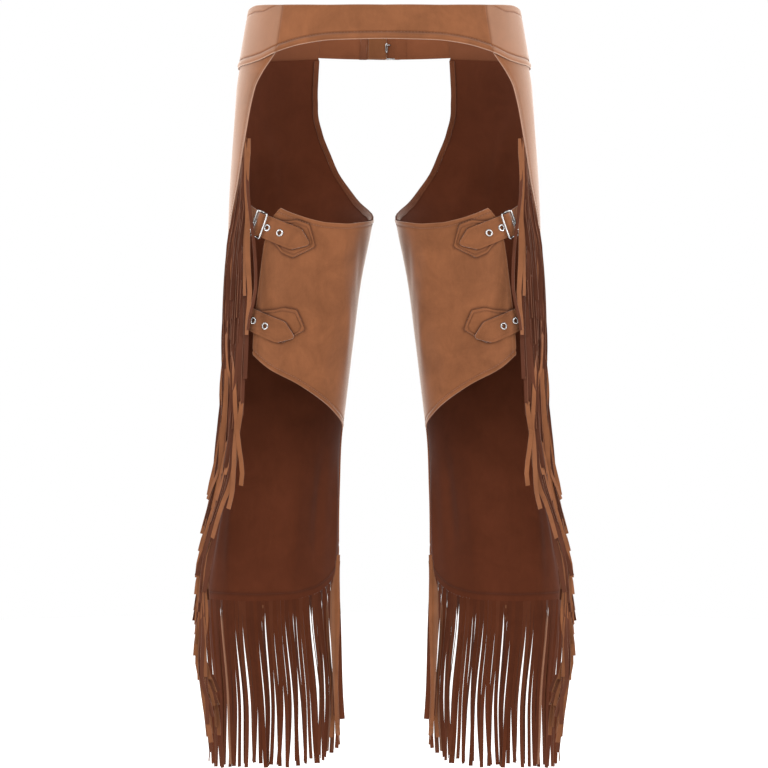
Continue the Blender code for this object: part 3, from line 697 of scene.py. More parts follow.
def patch_shade(strap, drop, angle):
    """Painted shadow on the wrap, close round a strap's patch."""
    half_way = 0.5 * (strap["angle"] + angle)
    run = (angle - strap["angle"]) / angle_per_metre(strap["drop"], half_way)
    rise = strap["drop"] - drop
    slope = math.radians(strap["slope"])
    along = run * math.cos(slope) + rise * math.sin(slope)
    across = rise * math.cos(slope) - run * math.sin(slope)
    tip = PATCH_OUTLINE["along"][0]
    across += strap["patch_lift"] * min(0.0, (along - CENTRE_BAR_AT) / (CENTRE_BAR_AT - tip))
    gap = max(abs(across) - patch_half_at(along), tip - along)
    return 0.66 * bell(gap - 0.0002, PATCH_SHADOW)


def wrap_point(across, down, layer):
    drop, angle = wrap_place(across, down)
    below_top, above_foot = drop - wrap_top_at(angle), wrap_foot_at(angle) - drop
    from_outer = (wrap_outer_at(drop) - angle) / angle_per_metre(drop, angle)
    fade = soft_step(across * 8.0) * soft_step((1.0 - across) * 8.0)
    fade *= soft_step(below_top / WRAP_FLAT) * soft_step(above_foot / WRAP_FLAT)
    height = fold_height(WRAP_FOLDS, drop, angle) * fade
    dip = seam_dip(below_top - TOP_STITCH) + seam_dip(above_foot - FOOT_STITCH)
    dip += seam_dip(from_outer - OUTER_STITCH, 0.0003)
    puff = 0.0005 * (near(abs(below_top - WRAP_WELT), WRAP_WELT)
                     + near(abs(above_foot - WRAP_WELT), WRAP_WELT))
    # Painted shade at the topstitching and round the patches, and painted highlight along the edges and
    # towards the inner seam.
    shade = 0.10 * bell(below_top - TOP_STITCH, 0.0015)
    shade += 0.10 * bell(above_foot - FOOT_STITCH, 0.0015)
    gaps = min(below_top, above_foot, from_outer)
    shade += max(patch_shade(strap, drop, angle) for strap in strap_rows)
    tone_and_painted_light = 1.0 + 0.22 * near(gaps, WRAP_EDGE) - shade
    tone_and_painted_light += 0.42 * soft_step((INNER_PALE - angle) / INNER_PALE_RUN)
    return on_form(drop, angle, PANEL * layer + height + (dip + puff) * layer), tone_and_painted_light


for word, side in SIDES:
    cloth(
        f"wrap_{word}", 130, 160, wrap_point, tan_suede, f"thigh_wrap_{word}",
        side
    )

# ------------------------------------------------------------------ waistband
# Three pieces of suede make the band: a wide one across the back, and one at each side that
# is tallest over the hip. Two rows of stitches, near the top and near the lower edge, leave
# a soft welt below the lower one.

BAND_TOP = table(
    "angle  drop",
    (0.0, 0.0033),
    (20.0, 0.0021),
    (35.0, -0.0002),
    (50.0, -0.0036),
    (62.0, -0.0066),
    (70.0, -0.0080),
    (80.0, -0.0064),
    (90.0, -0.0012),
    (105.0, 0.0000),
    (151.0, 0.0000),
)
BAND = 0.0018
BACK_SEAM = 47.0
BAND_FOOT_STITCH = 0.0095
BAND_TOP_STITCH = 0.0085
SEAM_GAP = 0.03
WELT_MIDDLE, WELT_REACH, WELT = 0.0045, 0.0048, 0.0014
BAND_EDGE_HIGHLIGHT = 0.0011
band_top_at = Curve(BAND_TOP["angle"], BAND_TOP["drop"])
LINING = (0.160, 0.052, 0.0215)
BAND_FACE = (0.153, 0.0545, 0.0205)
band_suede = suede("band_suede", BAND_FACE, LINING, 0.18)


def top_stitch_at(turn):
    """The upper row's distance below the edge: it runs out at the seam."""
    return BAND_TOP_STITCH * soft_step((turn - BACK_SEAM - 2.0) / 13.0)


def band_point(angle, down, layer, seams):
    turn = abs(angle)
    top, foot = band_top_at(turn), band_edge_at(turn)
    drop = between(top, foot, down)
    below_top, above_foot = drop - top, foot - drop
    dip = seam_dip(above_foot - BAND_FOOT_STITCH, 0.0014, 0.0015)
    if turn > BACK_SEAM:
        dip += seam_dip(below_top - top_stitch_at(turn), 0.0008)
    # Painted shade in the lower stitch groove, above the lower rim, at the top row and at the seams;
    # painted highlight along the edges.
    shade = 0.42 * bell(above_foot - BAND_FOOT_STITCH, 0.0013)
    shade += 0.22 * bell(above_foot - 0.0022, 0.0009)
    if turn > BACK_SEAM:
        shade += 0.24 * bell(below_top - top_stitch_at(turn), 0.0012)
    for seam in seams:
        off = (turn - seam) / angle_per_metre(0.03, seam)
        dip += seam_dip(off, 0.0009, 0.0016)
        shade += 0.18 * bell(off, 0.0012)
    welt = WELT * near(abs(above_foot - WELT_MIDDLE), WELT_REACH)
    wave = 0.0007 * math.sin(turn * 0.21) * math.sin(3.1 * down + 0.05 * turn)
    tone_and_painted_light = 1.0 + 0.60 * near(min(below_top, above_foot), BAND_EDGE_HIGHLIGHT) - shade
    # Painted highlight: the side pieces lighter, most over the hip, where side light falls.
    if turn > BACK_SEAM:
        tone_and_painted_light += 0.28 + 0.42 * soft_step((turn - 50.0) / 40.0) * soft_step((150.0 - turn) / 40.0)
    height = PANEL + LAY + BAND * layer + wave + (dip + welt) * layer
    point = on_form(drop, turn, height)
    point.x *= math.copysign(1.0, angle)
    return point, tone_and_painted_light


back_band_suede = suede("back_band_suede", BAND_FACE, LINING, 0.22)


def back_band(across, down, layer):
    return band_point(between(SEAM_GAP - BACK_SEAM, BACK_SEAM - SEAM_GAP, across), down, layer,
                      (BACK_SEAM,))


def side_band(across, down, layer):
    return band_point(between(BACK_SEAM + SEAM_GAP, FRONT_SEAM - SEAM_GAP, across), down, layer,
                      (BACK_SEAM, FRONT_SEAM))


cloth("band_back", 150, 62, back_band, back_band_suede, "waistband_back",
      1, 0.35)
for word, side in SIDES:
    cloth(
        f"band_side_{word}", 150, 76, side_band, band_suede,
        f"waistband_side_{word}", side, 0.35,
    )

# ------------------------------------------------------------------ front belt
# The side bands run on as a belt across the front. Its left end is folded round the heel bar
# of a wire buckle, with a suede loop behind it; a pointed billet on the right half goes
# through the buckle and the loop, under the prong.

BELT_HEIGHT = 0.040
BELT_RIGHT_END = 0.031
BILLET_WIDTH = 0.0395
BELT_STITCH = 0.004
BILLET_STITCH = 0.0035
STRAP = 0.0014
BELT_FOLD = table(
    "x        height",
    (-0.0120, 0.0009),
    (-0.0060, 0.0018),
    (0.0000, 0.00330),
    (0.0017, 0.00270),
    (0.0024, 0.00090),
    (0.0017, -0.00080),
    (0.0000, -0.00150),
    (-0.0060, -0.00120),
    (-0.0220, -0.00120),
)
BILLET_RISE = table(
    "x        height",
    (-0.0850, 0.0021),
    (-0.0180, 0.0021),
    (-0.0060, 0.0040),
    (0.0040, 0.0046),
    (0.0180, 0.0021),
    (0.0460, 0.0021),
)
billet_rise_at = Curve(BILLET_RISE["x"], BILLET_RISE["height"])
front_degrees = angle_per_metre(0.02, 180.0)


def on_belt(x, across, height):
    """A point on the front belt: x from the middle, across from its mid line, upwards."""
    return on_form(0.5 * BELT_HEIGHT - across, 180.0 - x * front_degrees, PANEL + LAY + height)


# Painted highlight along the belt's edges and painted shade in its stitch groove.
def belt_painted_light(from_edge):
    return 1.0 + 0.2 * near(from_edge, 0.001) - 0.10 * bell(from_edge - BELT_STITCH, 0.0012)


def right_belt(across, down, layer):
    angle = between(FRONT_SEAM + SEAM_GAP, 180.0 - BELT_RIGHT_END * front_degrees, across)
    from_edge = BELT_HEIGHT * min(down, 1.0 - down)
    dip = seam_dip(from_edge - BELT_STITCH, 0.0004, 0.0012)
    point = on_form(BELT_HEIGHT * down, angle, PANEL + LAY + BAND * layer + dip * layer)
    return point, belt_painted_light(from_edge)


fold_parts = [i / (len(BELT_FOLD["x"]) - 1) for i in range(len(BELT_FOLD["x"]))]
fold_x_at = Curve(fold_parts, BELT_FOLD["x"])
fold_height_at = Curve(fold_parts, BELT_FOLD["height"])
FOLD_STEP = 0.01
LEFT_RUN = 0.60


def left_belt(across, down, layer):
    from_edge = BELT_HEIGHT * min(down, 1.0 - down)
    dip = seam_dip(from_edge - BELT_STITCH, 0.0004, 0.0012) * layer
    if across < LEFT_RUN:
        part = across / LEFT_RUN
        angle = 180.0 - between(FRONT_SEAM + SEAM_GAP - 180.0, BELT_FOLD["x"][0] * front_degrees, part)
        half = between(0.5 * BELT_HEIGHT, 0.5 * BILLET_WIDTH, soft_step((part - 0.8) / 0.2))
        return on_form(
            0.5 * BELT_HEIGHT - half * (1 - 2 * down), angle, PANEL + LAY + BAND * layer + dip
        ), belt_painted_light(from_edge)
    part = (across - LEFT_RUN) / (1.0 - LEFT_RUN)
    run = fold_x_at(part + FOLD_STEP) - fold_x_at(part - FOLD_STEP)
    rise = fold_height_at(part + FOLD_STEP) - fold_height_at(part - FOLD_STEP)
    length = math.hypot(run, rise) or 1.0
    lean = (layer - 0.5) * BAND * soft_step(part * 12.0 + 0.2)
    x = fold_x_at(part) - lean * rise / length
    height = fold_height_at(part) + lean * run / length
    return on_belt(x, 0.5 * BILLET_WIDTH * (1 - 2 * down), height), belt_painted_light(from_edge)


def billet(across, down, layer):
    x = between(BILLET_RISE["x"][0], BILLET_RISE["x"][-1], across)
    tip = min(1.0, 0.10 + (x - BILLET_RISE["x"][0]) / 0.018)
    from_edge = BILLET_WIDTH * min(down, 1.0 - down)
    dip = seam_dip(from_edge - BILLET_STITCH, 0.0003, 0.001)
    return on_belt(
        x, 0.5 * BILLET_WIDTH * tip * (1 - 2 * down), billet_rise_at(x) + (STRAP + dip) * layer
    ), belt_painted_light(from_edge)


cloth("belt_half_right", 40, 34, right_belt, band_suede, "belt_right",
      1, 0.4)
cloth("belt_half_left", 90, 34, left_belt, band_suede, "belt_left",
      1, 0.0)
cloth("billet", 90, 28, billet, band_suede, "belt_billet",
      1, 0.3)

KEEPER_MIDDLE = -0.0285
KEEPER_WIDTH = 0.009
KEEPER_WALL = 0.0011
KEEPER_ROOM = 0.0004
KEEPER_RINGS = 8


def belt_loop():
    """A closed band of suede round the belt and the billet: a circle squared off."""
    low = -KEEPER_ROOM
    high = BILLET_RISE["height"][0] + STRAP + KEEPER_ROOM
    half = 0.5 * BELT_HEIGHT + KEEPER_ROOM
    bm = marked_mesh()
    outer, tone_and_painted_light = (bm.verts.layers.float[mark] for mark in ("outer", "tone_and_painted_light"))
    bmesh.ops.create_circle(bm, segments=64, radius=1.0)
    edges = bm.edges[:]
    for part in range(KEEPER_RINGS):
        made = bmesh.ops.extrude_edge_only(bm, edges=edges)["geom"]
        edges = [g for g in made if isinstance(g, bmesh.types.BMEdge)]
        verts = [g for g in made if isinstance(g, bmesh.types.BMVert)]
        bmesh.ops.translate(bm, verts=verts, vec=(0.0, 0.0, 1.0 / KEEPER_RINGS))
    bmesh.ops.recalc_face_normals(bm, faces=bm.faces[:])
    for vertex in bm.verts:
        turn = math.atan2(vertex.co.y, vertex.co.x)
        vertex[outer], vertex[tone_and_painted_light] = 1.0, 1.0
        square = 0.1 + 0.9 / max(abs(math.cos(turn)), abs(math.sin(turn)))
        across = half * max(-1.0, min(1.0, math.cos(turn) * square))
        height = between(low, high, 0.5 + 0.5 * max(-1.0, min(1.0, math.sin(turn) * square)))
        x = KEEPER_MIDDLE + (vertex.co.z - 0.5) * KEEPER_WIDTH
        vertex.co = on_belt(x, across, height)
    bmesh.ops.solidify(bm, geom=bm.faces[:], thickness=-KEEPER_WALL)
    face_out(bm)
    return bm


loop_suede = suede("loop_suede", (0.120, 0.040, 0.018))
put(belt_loop(), "belt_loop", loop_suede, ["belt_keeper"])

nickel, nickel_shader, nickel_place = new_material("nickel", Metallic=1.0)
smudge = nickel_place.node("ShaderNodeTexNoise", {}, {
    "Vector": nickel_place, "Scale": 260.0, "Detail": 3.0, "Roughness": 0.6,
})
scratch = nickel_place.node("ShaderNodeTexNoise", {}, {
    "Vector": nickel_place.node(
        "ShaderNodeMapping", {}, {"Vector": nickel_place, "Scale": (2500, 2500, 350)}),
    "Scale": 1.0, "Detail": 2.0,
})
nickel.node_tree.links.new(
    smudge.spread(0.35, 0.7).mix((0.30, 0.29, 0.29, 1.0), (0.50, 0.49, 0.48, 1.0)).socket,
    nickel_shader.inputs["Base Color"])
nickel.node_tree.links.new((0.16 + 0.16 * smudge).socket, nickel_shader.inputs["Roughness"])
nickel.node_tree.links.new(
    nickel_place.node(
        "ShaderNodeBump", {}, {"Height": scratch, "Strength": 0.2, "Distance": 0.0001}).socket,
    nickel_shader.inputs["Normal"])


def rounded(points, closed, cut=0.3, steps=4):
    """The same run of points with its corners rounded off."""
    last = len(points)
    result = []
    for index, corner in enumerate(points):
        if not closed and index in (0, last - 1):
            result.append(corner)
            continue
        start = corner.lerp(points[index - 1], cut)
        end = corner.lerp(points[(index + 1) % last], cut)
        for step in range(steps + 1):
            t = step / steps
            result.append(start.lerp(corner, t).lerp(corner.lerp(end, t), t))
    return result


def wire(name, runs, radius, nodes, closed=False, side=1):
    """Round wire, bent through each run of points."""
    curve = bpy.data.curves.new(name, "CURVE")
    curve.dimensions = "3D"
    curve.bevel_depth = radius
    curve.bevel_resolution = 4
    curve.use_fill_caps = not closed
    for points in runs:
        spline = curve.splines.new("POLY")
        spline.points.add(len(points) - 1)
        for knot, point in zip(spline.points, points):
            knot.co = (side * point.x, point.y, point.z, 1.0)
        spline.use_cyclic_u = closed
    maker = new_object(name, curve)
    mesh = bpy.data.meshes.new_from_object(maker.evaluated_get(bpy.context.evaluated_depsgraph_get()))
    bpy.data.objects.remove(maker)
    bm = bmesh.new()
    bm.from_mesh(mesh)
    bmesh.ops.remove_doubles(bm, verts=bm.verts[:], dist=0.000001)
    face_out(bm)
    return put(bm, name, nickel, nodes)


BUCKLE_WIRE = 0.0012
PRONG_WIRE = 0.0009
BELT_BUCKLE_LENGTH = 0.024
BELT_BUCKLE_HALF = 0.0196
FOLD_BAR = 0.0009
FRONT_BAR = 0.0054
corners = (
    (0.0, 0.98, FOLD_BAR), (0.004, 1.0, FOLD_BAR + 0.0004),
    (0.020, 1.0, FRONT_BAR), (BELT_BUCKLE_LENGTH, 0.92, FRONT_BAR),
)
upper = [on_belt(x, BELT_BUCKLE_HALF * part, height) for x, part, height in corners]
lower = [on_belt(x, -0.97 * BELT_BUCKLE_HALF * part, height) for x, part, height in reversed(corners)]
wire("belt_buckle", [rounded(upper + lower, True)], BUCKLE_WIRE, ["belt_buckle_frame"], closed=True)
prong = ((0.0036, 0.0010), (0.0062, 0.0014), (0.0080, 0.0028), (0.0088, 0.0060),
         (0.0110, 0.0084), (0.0160, 0.0088), (0.0240, 0.0086), (0.0275, 0.0082))
shank = rounded([on_belt(x, 0.0, height) for x, height in prong], False)
# The prong is bent round the heel bar, and its flattened eye shows in the belt's slot.
EYE_HALF = 0.0062
EYE_MIDDLE = -0.0045
eye = [on_belt(0.0030 + 0.0011 * math.cos(turn), EYE_MIDDLE + EYE_HALF * math.sin(turn), -0.0026)
       for turn in (0.0, 0.6, 1.2, 1.57, 1.94, 2.54, 3.14, 3.74, 4.34, 4.71, 5.08, 5.68, 6.28)]
wire("belt_prong", [shank, eye], PRONG_WIRE, ["belt_buckle_prong"])

# ------------------------------------------------------------------ thigh straps
# Two straps a leg close the wrap. Each is sewn inside the panel's outer edge, goes through a
# wire buckle that a spade-shaped patch holds by its centre bar, and ends in a point over the
# patch. Three pressed eyelets go down its middle.

STRAP_RISE = table(
    "along    height",
    (-0.0420, 0.0038),
    (0.0262, 0.0038),
    (0.0320, 0.0077),
    (0.0350, 0.0077),
    (0.0465, 0.0018),
    (0.0560, 0.0002),
    (0.0680, -0.0014),
    (0.0800, -0.0030),
    (0.0900, -0.0034),
    (0.1180, -0.0034),
)
STRAP_OUTLINE = table(
    "along    half_width",
    (-0.0420, 0.0012),
    (-0.0405, 0.0032),
    (-0.0250, 0.0137),
    (-0.0205, 0.0145),
    (0.1180, 0.0145),
)
PATCH = 0.0012
PATCH_STITCH = 0.0042
PATCH_FLAT_PART = 0.86
STRAP_STITCH = 0.0036
CENTRE_BAR = 0.0007
BAR_HEIGHT = 0.0047
END_BAR_HEIGHT = 0.0080
BUCKLE_HALF_LENGTH = 0.0090
BUCKLE_HALF_HEIGHT = 0.0173
EYELET_RADIUS = 0.0050
EYELET_HOLE = 0.00275
EYELET_PITCH = 0.0203
strap_rise_at = Curve(STRAP_RISE["along"], STRAP_RISE["height"])


def on_strap(strap, along, across, height):
    """A point on a strap laid on the thigh: along towards the outer side, across upwards."""
    slope = math.radians(strap["slope"])
    run = along * math.cos(slope) - across * math.sin(slope)
    rise = along * math.sin(slope) + across * math.cos(slope)
    half_way = strap["angle"] + 0.5 * run * angle_per_metre(strap["drop"], strap["angle"])
    angle = strap["angle"] + run * angle_per_metre(strap["drop"], half_way)
    return on_form(strap["drop"] - rise, angle, height)


def straight(places, values, place):
    """The value at a place, on straight lines between the table's rows."""
    for start, end, low, high in zip(places, places[1:], values, values[1:]):
        if place <= end:
            return between(low, high, (place - start) / (end - start))
    return values[-1]


def patch_point(strap):
    """The patch lies flat, dips at its own topstitching, and its neck hooks over the bar."""
    bar_radius = CENTRE_BAR + LAY + 0.5 * PATCH
    tip = PATCH_OUTLINE["along"][0]

    def place(across, down, layer):
        lean = (layer - 0.5) * PATCH
        if across <= PATCH_FLAT_PART:
            along = between(tip, CENTRE_BAR_AT, across / PATCH_FLAT_PART)
            height = BAR_HEIGHT - bar_radius + lean
        else:
            turn = math.pi * (across - PATCH_FLAT_PART) / (1.0 - PATCH_FLAT_PART)
            along = CENTRE_BAR_AT + (bar_radius - lean) * math.sin(turn)
            height = BAR_HEIGHT - (bar_radius - lean) * math.cos(turn)
        half = patch_half_at(along)
        from_edge = min(half * 2.0 * min(down, 1.0 - down), (along - tip) * 0.8)
        height += seam_dip(from_edge - PATCH_STITCH, 0.0008, 0.0011) * layer
        height += 0.0005 * near(abs(from_edge - 0.002), 0.002) * layer
        reach = min(0.0, (along - CENTRE_BAR_AT) / (CENTRE_BAR_AT - tip))
        off = half * (1 - 2 * down) - strap["patch_lift"] * reach
        # Painted shade in the topstitching and along the patch's edge, and painted shadow round the
        # strap lying on it.
        shade = 0.30 * bell(from_edge - PATCH_STITCH, 0.0010)
        shade += 0.60 * near(from_edge, 0.0010) * (1.0 - 0.35 * layer)
        past_strap = max(abs(off) - straight(*STRAP_OUTLINE.values(), along),
                         STRAP_OUTLINE["along"][0] - along)
        shade += 0.62 * bell(past_strap, 0.0021)
        return on_strap(strap, along, off, height), 1.0 - min(0.85, shade)

    return place


def strap_points(strap, side):
    """The strap: a flat shape with its holes punched, then bent over the buckle and the leg."""
    start, end = STRAP_RISE["along"][0], STRAP_RISE["along"][-1]
    flat = bmesh.new()
    thick_grid(flat, 130, 22)
    for vertex in flat.verts:
        along = between(start, end, vertex.co.x + 0.5)
        half = straight(STRAP_OUTLINE["along"], STRAP_OUTLINE["half_width"], along)
        vertex.co = (along, half * 2.0 * (0.5 - crowd(0.5 - vertex.co.y, 0.5)), vertex.co.z * STRAP)
    bmesh.ops.recalc_face_normals(flat, faces=flat.faces[:])
    punch = bmesh.new()
    for number in range(3):
        bmesh.ops.create_cone(
            punch, cap_ends=True, segments=24, radius1=EYELET_HOLE, radius2=EYELET_HOLE,
            depth=0.01, matrix=Matrix.Translation((number * EYELET_PITCH, 0.0, 0.0)))
    blank_maker = new_object("blank", mesh_from(flat, "blank"))
    punch_maker = new_object("punch", mesh_from(punch, "punch"))
    cut = blank_maker.modifiers.new("holes", "BOOLEAN")
    cut.operation, cut.object = "DIFFERENCE", punch_maker
    shape = blank_maker.evaluated_get(bpy.context.evaluated_depsgraph_get())
    bm = bmesh.new()
    bm.from_mesh(bpy.data.meshes.new_from_object(shape))
    bpy.data.objects.remove(blank_maker)
    bpy.data.objects.remove(punch_maker)
    outer, tone_and_painted_light = bm.verts.layers.float.new("outer"), bm.verts.layers.float.new("tone_and_painted_light")
    for vertex in bm.verts:
        along, across, layer = vertex.co.x, vertex.co.y, vertex.co.z / STRAP
        half = straight(STRAP_OUTLINE["along"], STRAP_OUTLINE["half_width"], along)
        from_edge = min(half - abs(across), (along - start) * 0.75)
        height = strap_rise_at(along) + STRAP * layer
        height += layer * seam_dip(from_edge - STRAP_STITCH, 0.0003, 0.001)
        vertex[outer] = layer
        # Painted shade along the strap's edges and in its stitching.
        vertex[tone_and_painted_light] = 1.0 - 0.35 * near(from_edge, 0.0008) * (1.3 - layer)
        vertex[tone_and_painted_light] -= 0.10 * bell(from_edge - STRAP_STITCH, 0.001)
        curl = 0.0011 * soft_step((-0.018 - along) / 0.024) * layer
        vertex.co = on_strap(strap, along, across, height + curl)
        vertex.co.x *= side
    face_out(bm)
    return bm


def local_axes(place, along, across):
    """A point with its along, across and outward directions."""
    step = 0.001
    forward = (place(along + step, across) - place(along - step, across)).normalized()
    sideways = (place(along, across + step) - place(along, across - step)).normalized()
    outward = forward.cross(sideways)
    if outward.y > 0.0:
        outward.negate()
    return place(along, across), forward, sideways, outward


def eyelet(bm, centre, forward, sideways, outward, side):
    """A pressed ring: its half-round section, spun full circle."""
    before = len(bm.verts)
    middle = 0.5 * (EYELET_RADIUS + EYELET_HOLE)
    half = 0.5 * (EYELET_RADIUS - EYELET_HOLE)
    section = [bm.verts.new((middle + half * math.cos(math.pi * i / 6), 0.0,
                             0.0011 * math.sin(math.pi * i / 6))) for i in range(7)]
    section.append(bm.verts.new((EYELET_HOLE + 0.0001, 0.0, -STRAP)))
    edges = [bm.edges.new(pair) for pair in zip(section, section[1:] + section[:1])]
    bmesh.ops.spin(bm, geom=edges, axis=(0, 0, 1), cent=(0, 0, 0), angle=2 * math.pi,
                   steps=28, use_merge=True)
    bm.verts.ensure_lookup_table()
    for vertex in bm.verts[before:]:
        x, y, z = vertex.co
        vertex.co = centre + forward * x + sideways * y + outward * (z + 0.0002)
        vertex.co.x *= side


def strap_buckle(name, strap, nodes, side):
    centre, forward, sideways, outward = local_axes(
        lambda a, b: on_strap(strap, a, b, 0.0), CENTRE_BAR_AT, 0.0)

    def local(along, across, height):
        return centre + forward * along + sideways * across + outward * height

    length, half, cut = BUCKLE_HALF_LENGTH, BUCKLE_HALF_HEIGHT, 0.0015
    quarter = (
        (0.0, half, BAR_HEIGHT), (0.5 * length, half, between(BAR_HEIGHT, END_BAR_HEIGHT, 0.4)),
        (length - cut, half, END_BAR_HEIGHT), (length, half - cut, END_BAR_HEIGHT),
    )
    ring = [local(a, b, c) for a, b, c in quarter]
    ring += [local(a, -b, c) for a, b, c in reversed(quarter)]
    ring += [local(-a, -b, c) for a, b, c in quarter[1:]]
    ring += [local(-a, b, c) for a, b, c in reversed(quarter[1:])]
    wire(f"{name}_frame_wire", [rounded(ring, True)], BUCKLE_WIRE, [f"{nodes}_frame"], True, side)
    end = half - BUCKLE_WIRE
    wire(f"{name}_bar_wire", [[local(0.0, -end, BAR_HEIGHT), local(0.0, end, BAR_HEIGHT)]],
         CENTRE_BAR, [f"{nodes}_bar"], False, side)
    path = ((0.0042, 0.0040), (0.0056, 0.0048), (0.0062, 0.0068), (0.0062, 0.0086),
            (0.0072, 0.0101), (0.0115, 0.0103))
    wire(f"{name}_prong_wire", [rounded([local(a, 0.0, h) for a, h in path], False)],
         PRONG_WIRE, [f"{nodes}_prong"], False, side)


for word, side in SIDES:
    for strap in strap_rows:
        place = strap["name"]
        cloth(f"patch_{place}_{word}", 90, 60, patch_point(strap), tan_suede,
              f"{place}_patch_{word}", side, 0.2)
        strap_piece = put(strap_points(strap, side), f"strap_{place}_{word}", tan_suede,
                          [f"{place}_strap_{word}"])
        length = STRAP_RISE["along"][-1] - STRAP_RISE["along"][0]
        width = 2.0 * STRAP_OUTLINE["half_width"][-1]
        rings = bmesh.new()
        for number in range(3):
            eyelet(rings, *local_axes(
                lambda a, b: on_strap(strap, a, b, strap_rise_at(a) + STRAP),
                number * EYELET_PITCH, 0.0), side)
        face_out(rings)
        put(rings, f"eyelets_{place}_{word}", nickel,
            [f"{place}_strap_{word}_eyelet_{n}" for n in (1, 2, 3)])
        strap_buckle(f"buckle_{place}_{word}", strap, f"{place}_buckle_{word}", side)

# ------------------------------------------------------------------ side fringe
# A strip of suede, cut into strands but for its edge, is sewn inside the panel's back edge.
# The strands are 5 to 6 mm wide and 205 to 250 mm long; each hangs, sways and twists on its
# own, so that tan faces and dark reverses show side by side.

HEADER_WIDTH = 0.012
HEADER_TOP, HEADER_FOOT = 0.168, 0.752
LAYERS_DEEP = 0.004
CLOSE_IN, CLOSE_FROM, CLOSE_RUN = 0.0085, 0.64, 0.07
STRAND_WIDTH = 0.0056
STRAND = 0.0011
SIDE_FRINGE = table(
    "drop   inner_x outer_angle",
    (0.174, 0.1745, 61.5),
    (0.205, 0.1725, 60.0),
    (0.240, 0.1700, 62.5),
    (0.275, 0.1675, 70.0),
    (0.300, 0.1675, 79.0),
    (0.380, 0.1670, 90.0),
    (0.480, 0.1685, 91.0),
    (0.560, 0.1760, 91.0),
    (0.620, 0.1840, 91.0),
    (0.650, 0.1960, 91.0),
    (0.690, 0.2140, 91.0),
    (0.730, 0.2270, 92.0),
    (0.765, 0.2290, 93.0),
    (0.840, 0.2290, 93.0),
    (0.990, 0.2250, 91.0),
)
fringe_inner_at = Curve(SIDE_FRINGE["drop"], SIDE_FRINGE["inner_x"])
fringe_outer_at = Curve(SIDE_FRINGE["drop"], SIDE_FRINGE["outer_angle"])
FRINGE_LIFT = Curve((0.174, 0.24, 0.30, 0.38, 0.48, 0.56, 0.64, 0.80, 1.0),
                    (0.0015, 0.008, 0.0115, 0.0130, 0.0115, 0.008, 0.006, 0.005, 0.004))
OUTER_LIFT = Curve(
    (0.17, 0.306, 0.366, 0.46, 0.51, 0.54, 0.58, 0.62, 0.68, 0.73, 0.78, 0.86, 0.90, 0.93, 1.0),
    (-0.002, -0.006, -0.009, -0.009, -0.005, -0.002, 0.003, 0.004, -0.001, 0.004, 0.004, 0.008,
     -0.006, -0.015, -0.018))
fringe_suede = suede("fringe_suede", (0.150, 0.054, 0.021), (0.070, 0.0215, 0.0105), 0.22, 0.30)
hem_suede = suede("hem_fringe_suede", (0.138, 0.049, 0.019), (0.079, 0.0195, 0.0068), 0.22, 0.25)

strand_blank = bmesh.new()
bmesh.ops.create_cube(strand_blank, size=1.0)
bmesh.ops.subdivide_edges(
    strand_blank, edges=[e for e in strand_blank.edges
                         if abs(e.verts[0].co.z - e.verts[1].co.z) > 0.5], cuts=13)
strand_mesh = mesh_from(strand_blank, "strand_blank")


def add_strand(bm, path, facing, width, side, light):
    """One strand: path(s) gives its mid line and facing(s) the way its tan face looks, for s
    from 0 at the root to 1 at the square-cut tip."""
    outer, tone_and_painted_light = bm.verts.layers.float["outer"], bm.verts.layers.float["tone_and_painted_light"]
    before = len(bm.verts)
    bm.from_mesh(strand_mesh)
    bm.verts.ensure_lookup_table()
    for vertex in bm.verts[before:]:
        s = 0.5 - vertex.co.z
        start, end = path(max(0.0, s - 0.02)), path(min(1.0, s + 0.02))
        along = (end - start).normalized()
        face = facing(s)
        face = (face - along * face.dot(along)).normalized()
        across = along.cross(face)
        vertex[outer] = 0.5 + vertex.co.y
        # The strand's own tone, darkened with painted shade or lightened with painted highlight so
        # strands read apart.
        vertex[tone_and_painted_light] = light
        spot = path(s) + across * vertex.co.x * width(s) + face * vertex.co.y * STRAND
        vertex.co = (spot.x * side, spot.y, spot.z)


def flat_way(turn):
    """A level direction: 0 is straight out to the side, 90 to the back, -90 to the front."""
    return Vector((math.cos(math.radians(turn)), -math.sin(math.radians(turn)), 0.0))


def fringe_place(drop, part, layer):
    """A point in the side fringe: part 0 at its back edge and 1 at its outer side, and layer
    from 0 against the leg to 1 on top."""
    centre = centre_at(drop)
    half_width = outer_at(drop) - centre
    sine = max(-0.99, min(0.99, (fringe_inner_at(drop) - centre) / half_width))
    inner = math.degrees(math.asin(sine))
    lift = between(FRINGE_LIFT(drop), OUTER_LIFT(drop), part * part)
    raised = PANEL + max(0.0, lift) + min(0.0, lift) * part
    raised += LAYERS_DEEP * layer * (1.0 - 0.6 * part)
    return on_form(drop, between(inner, fringe_outer_at(drop), part), raised)


